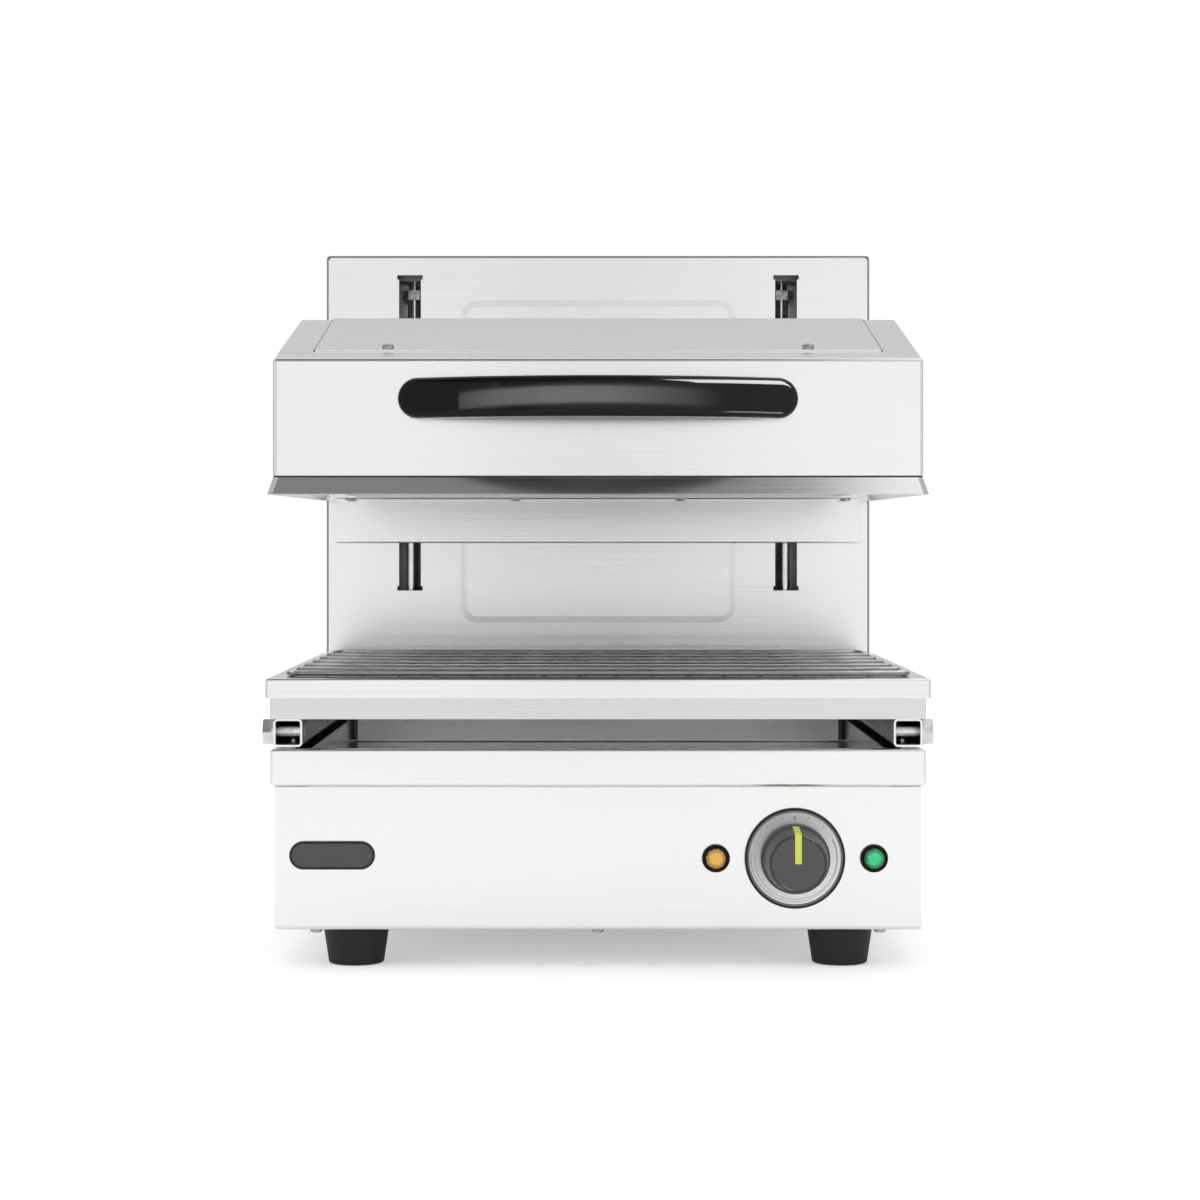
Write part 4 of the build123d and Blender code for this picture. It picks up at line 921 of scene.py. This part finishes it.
def dial_scale_shape(shape):
    """The wedge's two lines, its wide end and the ticks."""
    wedge_line(shape, -1)
    wedge_line(shape, 1)
    cross_line(shape, SCALE_TO, SCALE_WIDE, SCALE_LINE)
    for degrees in TICK_ANGLES:
        cross_line(shape, degrees, TICK_LENGTH, TICK_WIDTH)


def digit(name, text, degrees):
    """A plain number on the dial, upright to its own radius."""
    curve = bpy.data.curves.new(name, "FONT")
    curve.body = text
    curve.size = DIGIT_SIZE
    curve.align_x = "CENTER"
    curve.align_y = "CENTER"
    curve.extrude = MARK_THICK / 2
    holder = bpy.data.objects.new(name + "_text", curve)
    bpy.context.scene.collection.objects.link(holder)
    mesh = evaluated_mesh(holder, name)
    bpy.data.objects.remove(holder)
    x, z = on_dial(DIGIT_R, degrees)
    stand_up = Matrix.Rotation(math.radians(90), 4, "X")
    turn = Matrix.Rotation(math.radians(degrees), 4, "Y")
    mesh.transform(Matrix.Translation((x, ring_face - MARK_THICK / 2, z)) @ turn @ stand_up)
    piece(name, mesh, dial_ink, "base")


built_piece("dial_scale", dial_scale_shape, dial_ink, "base")
digit("dial_zero", "0", 0)

# Rim round the knob's face: a rounded bead, glossier than the knob
knob_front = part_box("control_knob")[0].y


def knob_rim_shape(shape):
    """The bead's section turned about the knob's axis."""
    section = []
    for i in range(RIM_ARC_STEPS + 1):
        a = math.pi * i / RIM_ARC_STEPS
        section.append((KNOB_RIM_R - KNOB_RIM_HALF * math.cos(a), knob_front - KNOB_RIM_RISE * math.sin(a)))
    for side in (1, -1):
        section.append((KNOB_RIM_R + side * KNOB_RIM_HALF, knob_front + KNOB_RIM_SEAT))
    loops = []
    for step in range(RIM_TURN_STEPS):
        places = [(on_dial(r, 360 * step / RIM_TURN_STEPS), y) for r, y in section]
        loops.append([shape.verts.new((x, y, z)) for (x, z), y in places])
    join_loops(shape, loops, closed=True)


knob_rim = built_piece("knob_rim", knob_rim_shape, rim_gloss, "knob")

# Strips of painted shade on the hood, in its gaps
shell_low, shell_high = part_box("hood_shell")
plate_low, plate_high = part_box("hood_top_plate")


def chamfered_loop(shape, inset, z):
    """Points round the hood at a height, its corners cut off."""
    x0, x1 = shell_low.x + inset, shell_high.x - inset
    y0, y1 = shell_low.y + inset, shell_high.y - inset
    c = GAP_SHADE_CORNER
    outline = [
        (x0 + c, y0), (x1 - c, y0), (x1, y0 + c), (x1, y1 - c),
        (x1 - c, y1), (x0 + c, y1), (x0, y1 - c), (x0, y0 + c),
    ]
    return [shape.verts.new((x, y, z)) for x, y in outline]


def shade_ring_shape(shape):
    """A flat dark ring of painted shade in the gap between the shell and the skirt."""
    top = shell_low.z - GAP_SHADE_FIT
    low = shell_low.z - SKIRT_GAP + GAP_SHADE_FIT
    inner = GAP_SHADE_INSET + GAP_SHADE_DEPTH
    section = ((GAP_SHADE_INSET, low), (GAP_SHADE_INSET, top), (inner, top), (inner, low))
    loops = [chamfered_loop(shape, inset, z) for inset, z in section]
    join_loops(shape, loops, closed=True)


def plate_shade_beads_shape(shape):
    """A dark bead of painted shade on either side of the top plate, up the slope and along the flat."""
    run = [
        (plate_low.y, plate_low.z),
        (shell_low.y + RIDGE_BACK, shell_high.z),
        (plate_high.y, shell_high.z),
    ]
    for edge, outward in ((plate_low.x, -1), (plate_high.x, 1)):
        near_x = edge + outward * GAP_SHADE_FIT
        far_x = edge + outward * (GAP_SHADE_FIT + PLATE_GAP_SHADE_WIDTH)
        section = ((near_x, 0), (near_x, PLATE_GAP_SHADE_RISE), (far_x, PLATE_GAP_SHADE_RISE / 2), (far_x, 0))
        loops = [[shape.verts.new((x, y, z + rise)) for x, rise in section] for y, z in run]
        join_loops(shape, loops, closed=False)


# painted shade: dark strips in the gap above the skirt and beside the top plate
built_piece("skirt_shade_ring", shade_ring_shape, gap_shade_black, "hood")
built_piece("top_plate_shade_beads", plate_shade_beads_shape, gap_shade_black, "hood")


# Rear screws: domed heads with a cross recess
def screw_dome(shape):
    """A domed head that faces +Y from the origin."""
    turns = [2 * math.pi * k / SCREW_SIDES for k in range(SCREW_SIDES)]
    rings = []
    for i in range(SCREW_RINGS):
        a = math.radians(90) * i / SCREW_RINGS
        r, rise = SCREW_R * math.cos(a), SCREW_RISE * math.sin(a)
        rings.append([shape.verts.new((r * math.cos(t), rise, r * math.sin(t))) for t in turns])
    join_loops(shape, rings, closed=False)


def screw_recess(shape):
    """The cross that is cut out of the head: one arm, turned by quarters."""
    w = RECESS_WIDTH / 2
    arm = [(-w, -RECESS_R), (w, -RECESS_R), (w, -w)]
    outline = []
    for _ in range(4):
        outline += arm
        arm = [(-z, x) for x, z in arm]
    prism(shape, outline, SCREW_RISE - RECESS_DEPTH, SCREW_RISE + RECESS_DEPTH)


def screw_mesh(name):
    """The head with the cross cut into it."""
    head = bpy.data.objects.new(name + "_head", mesh_from(name + "_head", screw_dome))
    tool = bpy.data.objects.new(name + "_tool", mesh_from(name + "_tool", screw_recess))
    for obj in (head, tool):
        bpy.context.scene.collection.objects.link(obj)
    cut = head.modifiers.new("recess", "BOOLEAN")
    cut.object = tool
    cut.operation = "DIFFERENCE"
    mesh = evaluated_mesh(head, name)
    for obj in (head, tool):
        bpy.data.objects.remove(obj)
    return mesh


cover_low, cover_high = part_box("column_rear_cover")
cover_middle = (cover_low.z + cover_high.z) / 2
rear_screw_places = [
    (x, cover_high.y, z)
    for x in (cover_low.x + SCREW_EDGE, cover_high.x - SCREW_EDGE)
    for z in (cover_low.z + 2 * SCREW_EDGE, cover_middle, cover_high.z - 2 * SCREW_EDGE)
]
screw_shape = screw_mesh("rear_screw")
for number, place in enumerate(rear_screw_places):
    mesh = screw_shape.copy()
    mesh.transform(Matrix.Translation(place))
    piece(f"rear_screw_{number + 1}", mesh, slot_materials["zinc_fastener"], "base")


def plane_object(name, corners, material):
    """A flat stage piece."""
    mesh = bpy.data.meshes.new(name)
    mesh.from_pydata(corners, [], [(0, 1, 2, 3)])
    mesh.materials.append(material)
    obj = bpy.data.objects.new(name, mesh)
    bpy.context.scene.collection.objects.link(obj)
    return obj


# Floor: pale, and white to the camera where no shadow falls
def floor_finish():
    """The floor's material: it glows to the camera, and in reflections ahead of the grill."""
    material, shader = new_material("floor")
    set_surface(shader, grey(FLOOR_TONE), FLOOR_ROUGHNESS)
    shader.inputs["Specular IOR Level"].default_value = FLOOR_SPECULAR
    shader.inputs["Emission Color"].default_value = WHITE
    path = add_node(material, "ShaderNodeLightPath")
    reach = calculate_vector(material, "LENGTH", object_place(material))["Value"]
    fade = map_range(material, reach, FLOOR_GLOW, FAR_GLOW, GLOW_NEAR, GLOW_FAR)
    seen = calculate(material, "MULTIPLY", path.outputs["Is Camera Ray"], fade)
    place = split_vector(material, "Object")
    ahead = map_range(material, place["Y"], MIRROR_GLOW, 0, MIRROR_FULL_Y, MIRROR_NONE_Y)
    aside = calculate(material, "ABSOLUTE", place["X"])
    between = map_range(material, aside, 1, 0, MIRROR_FULL_X, MIRROR_NONE_X)
    patch = calculate(material, "MULTIPLY", ahead, between)
    glow = calculate(material, "MULTIPLY_ADD", path.outputs["Is Glossy Ray"], patch, seen)
    link(material, glow, shader.inputs["Emission Strength"])
    return material


plane_object(
    "floor",
    [(x * FLOOR_HALF, y * FLOOR_HALF, -FLOOR_DROP) for x, y in ((-1, -1), (1, -1), (1, 1), (-1, 1))],
    floor_finish(),
)


# Flags, so that the metal has something to show
def flag(name, corners, tone):
    """A card seen in reflections alone."""
    material = bpy.data.materials.new(name)
    material.use_nodes = True
    material.node_tree.nodes.clear()
    output = add_node(material, "ShaderNodeOutputMaterial")
    card = add_node(material, "ShaderNodeEmission")
    card.inputs["Color"].default_value = (*grey(tone), 1)
    link(material, card.outputs["Emission"], output.inputs["Surface"])
    obj = plane_object(name, corners, material)
    obj.visible_camera = False
    obj.visible_diffuse = False
    obj.visible_shadow = False
    obj.visible_transmission = False


def upright_flag(name, start, end, low, high, tone):
    """A flag that stands between two (x, y) places, from one height to another."""
    flag(name, [(*start, low), (*end, low), (*end, high), (*start, high)], tone)


def across(left, right, y):
    """The ends of a flag that stands square to the view."""
    return (left, y), (right, y)


near_ends = across(-FLAG_NEAR_HALF, FLAG_NEAR_HALF, FLAG_NEAR_Y)
upright_flag("flag_low", *near_ends, FLAG_LOW_FROM, FLAG_LOW_TO, FLAG_LOW_TONE)
upright_flag("flag_high", *near_ends, FLAG_HIGH_FROM, FLAG_HIGH_TO, FLAG_HIGH_TONE)
rear_ends = across(-FLAG_REAR_HALF, FLAG_REAR_HALF, FLAG_REAR_Y)
upright_flag("flag_rear", *rear_ends, 0, FLAG_REAR_TO, FLAG_REAR_TONE)
far_ends = across(-FLAG_FAR_HALF, FLAG_FAR_HALF, FLAG_FAR_Y)
upright_flag("flag_far", *far_ends, FLAG_FAR_FROM, FLAG_FAR_TO, FLAG_FAR_TONE)
bead_ends = across(FLAG_BEAD_LEFT, FLAG_BEAD_RIGHT, FLAG_FAR_Y)
upright_flag("flag_bead", *bead_ends, 0, FLAG_BEAD_TO, FLAG_BEAD_TONE)
flag(
    "flag_top",
    [
        (FLAG_TOP_LEFT, *FLAG_TOP_FRONT),
        (FLAG_TOP_RIGHT, *FLAG_TOP_FRONT),
        (FLAG_TOP_RIGHT, *FLAG_TOP_REAR),
        (FLAG_TOP_LEFT, *FLAG_TOP_REAR),
    ],
    FLAG_TOP_TONE,
)
for side, side_name in ((-1, "left"), (1, "right")):
    side_ends = [(side * x, y) for x, y in (FLAG_SIDE_FRONT, FLAG_SIDE_REAR)]
    upright_flag("flag_" + side_name, *side_ends, 0, FLAG_SIDE_TO, FLAG_SIDE_TONE)
    round_ends = across(side * FLAG_ROUND_INNER, side * FLAG_FAR_HALF, FLAG_FAR_Y)
    upright_flag("flag_far_" + side_name, *round_ends, FLAG_ROUND_FROM, FLAG_FAR_FROM, FLAG_ROUND_TONE)
    beside_ends = [(side * FLAG_BESIDE_X, y) for y in (FLAG_BESIDE_FRONT, FLAG_BESIDE_REAR)]
    upright_flag("flag_beside_" + side_name, *beside_ends, 0, FLAG_REAR_TO, FLAG_ROUND_TONE)

# World: white to the camera and in reflections, a softer level for the light itself
world = bpy.data.worlds.new("studio")
bpy.context.scene.world = world
world.use_nodes = True
world.node_tree.nodes.clear()


def white_background(strength):
    """An even white of that strength."""
    node = add_node(world, "ShaderNodeBackground")
    node.inputs["Color"].default_value = WHITE
    node.inputs["Strength"].default_value = strength
    return node.outputs["Background"]


def ray_is_seen():
    """1 for rays of the camera, of reflections and through glass."""
    path = add_node(world, "ShaderNodeLightPath")
    either = calculate(world, "MAXIMUM", path.outputs["Is Camera Ray"], path.outputs["Is Glossy Ray"])
    return calculate(world, "MAXIMUM", either, path.outputs["Is Transmission Ray"])


choice = add_node(world, "ShaderNodeMixShader")
world_output = add_node(world, "ShaderNodeOutputWorld")
feed(world, choice, (ray_is_seen(), white_background(AMBIENT), white_background(BACKDROP)))
link(world, choice.outputs["Shader"], world_output.inputs["Surface"])


def area_light(name, place, target, width, height, watts):
    """A rectangular light aimed at a point."""
    data = bpy.data.lights.new(name, "AREA")
    data.shape = "RECTANGLE"
    data.size = width
    data.size_y = height
    data.energy = watts
    obj = bpy.data.objects.new(name, data)
    bpy.context.scene.collection.objects.link(obj)
    obj.location = place
    obj.rotation_mode = "QUATERNION"
    obj.rotation_quaternion = (Vector(target) - Vector(place)).to_track_quat("-Z", "Y")
    return obj


# Softboxes, which reflections don't show
for name, place, size, watts in (
    ("softbox_left", (-SOFTBOX_X, SOFTBOX_Y, SOFTBOX_Z), SOFTBOX_SIZE, SOFTBOX_LEFT_WATTS),
    ("softbox_right", (SOFTBOX_X, SOFTBOX_Y, SOFTBOX_Z), SOFTBOX_SIZE, SOFTBOX_RIGHT_WATTS),
    ("softbox_rear", SOFTBOX_REAR_PLACE, SOFTBOX_REAR_SIZE, SOFTBOX_REAR_WATTS),
):
    area_light(name, place, SOFTBOX_AIM, size, size, watts).visible_glossy = False


# Lights of glossy parts: a strip along the handle's middle, one box above and one below its right end,
# and one box above the knob's right side
def receivers(name, obj):
    """A collection of one object, for the lights that it alone receives."""
    collection = bpy.data.collections.new(name)
    collection.objects.link(obj)
    return collection


def gleam(name, place, target, width, height, radiance, receiver):
    """A light that only one part receives. Gives the lamp's data."""
    obj = area_light(name, place, target, width, height, LAMP_WATTS * radiance * width * height)
    obj.visible_camera = False
    obj.light_linking.receiver_collection = receiver
    return obj.data


def fade_along(data, shares):
    """Let a lamp's light change along its width, by pairs of place and brightness."""
    data.use_nodes = True
    place = add_node(data, "ShaderNodeNewGeometry")
    split = add_node(data, "ShaderNodeSeparateXYZ")
    link(data, place.outputs["Parametric"], split.inputs["Vector"])
    ramp = add_node(data, "ShaderNodeValToRGB")
    stops = ramp.color_ramp.elements
    for position, _ in shares[1:-1]:
        stops.new(position)
    for stop, (position, brightness) in zip(stops, shares):
        stop.position = position
        stop.color = (*grey(brightness), 1)
    link(data, split.outputs["X"], ramp.inputs["Fac"])
    link(data, ramp.outputs["Color"], data.node_tree.nodes["Emission"].inputs["Strength"])


handle_alone = receivers("handle_alone", nodes["handle"])
rim_alone = receivers("rim_alone", knob_rim)
handle_low, handle_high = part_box("handle")
handle_z = (handle_low.z + handle_high.z) / 2
strip_x = (STRIP_LEFT + STRIP_RIGHT) / 2
strip_z = handle_z + STRIP_LIFT
strip = gleam(
    "handle_strip",
    (strip_x, handle_low.y - STRIP_AHEAD, strip_z),
    (strip_x, handle_low.y, strip_z),
    STRIP_RIGHT - STRIP_LEFT,
    STRIP_HEIGHT,
    STRIP_RADIANCE,
    handle_alone,
)
fade_along(strip, STRIP_FADE_SHARES)
handle_end = (HANDLE_END_X, handle_low.y, handle_z)
gleam(
    "handle_box_high",
    HIGH_BOX_PLACE,
    handle_end,
    HIGH_BOX_WIDTH,
    HIGH_BOX_HEIGHT,
    HIGH_BOX_RADIANCE,
    handle_alone,
)
gleam(
    "handle_box_low",
    LOW_BOX_PLACE,
    handle_end,
    LOW_BOX_WIDTH,
    LOW_BOX_HEIGHT,
    LOW_BOX_RADIANCE,
    handle_alone,
)
gleam("rim_box", RIM_BOX_PLACE, knob_axis, RIM_BOX_SIDE, RIM_BOX_SIDE, RIM_BOX_RADIANCE, rim_alone)

# Camera
camera_data = bpy.data.cameras.new("photo_camera")
camera_data.sensor_width = SENSOR_MM
camera_data.lens = FOCAL_PIXELS / IMAGE_SIDE * SENSOR_MM
camera_data.shift_x = (IMAGE_SIDE / 2 - MIDDLE_PIXEL) / IMAGE_SIDE
camera_data.shift_y = (HORIZON_PIXEL - IMAGE_SIDE / 2) / IMAGE_SIDE
camera = bpy.data.objects.new("photo_camera", camera_data)
bpy.context.scene.collection.objects.link(camera)
camera.location = (0, panel_face - CAMERA_BACK, CAMERA_HEIGHT)
camera.rotation_euler = (math.radians(90), 0, 0)
bpy.context.scene.camera = camera
bpy.context.scene.view_settings.view_transform = "Standard"
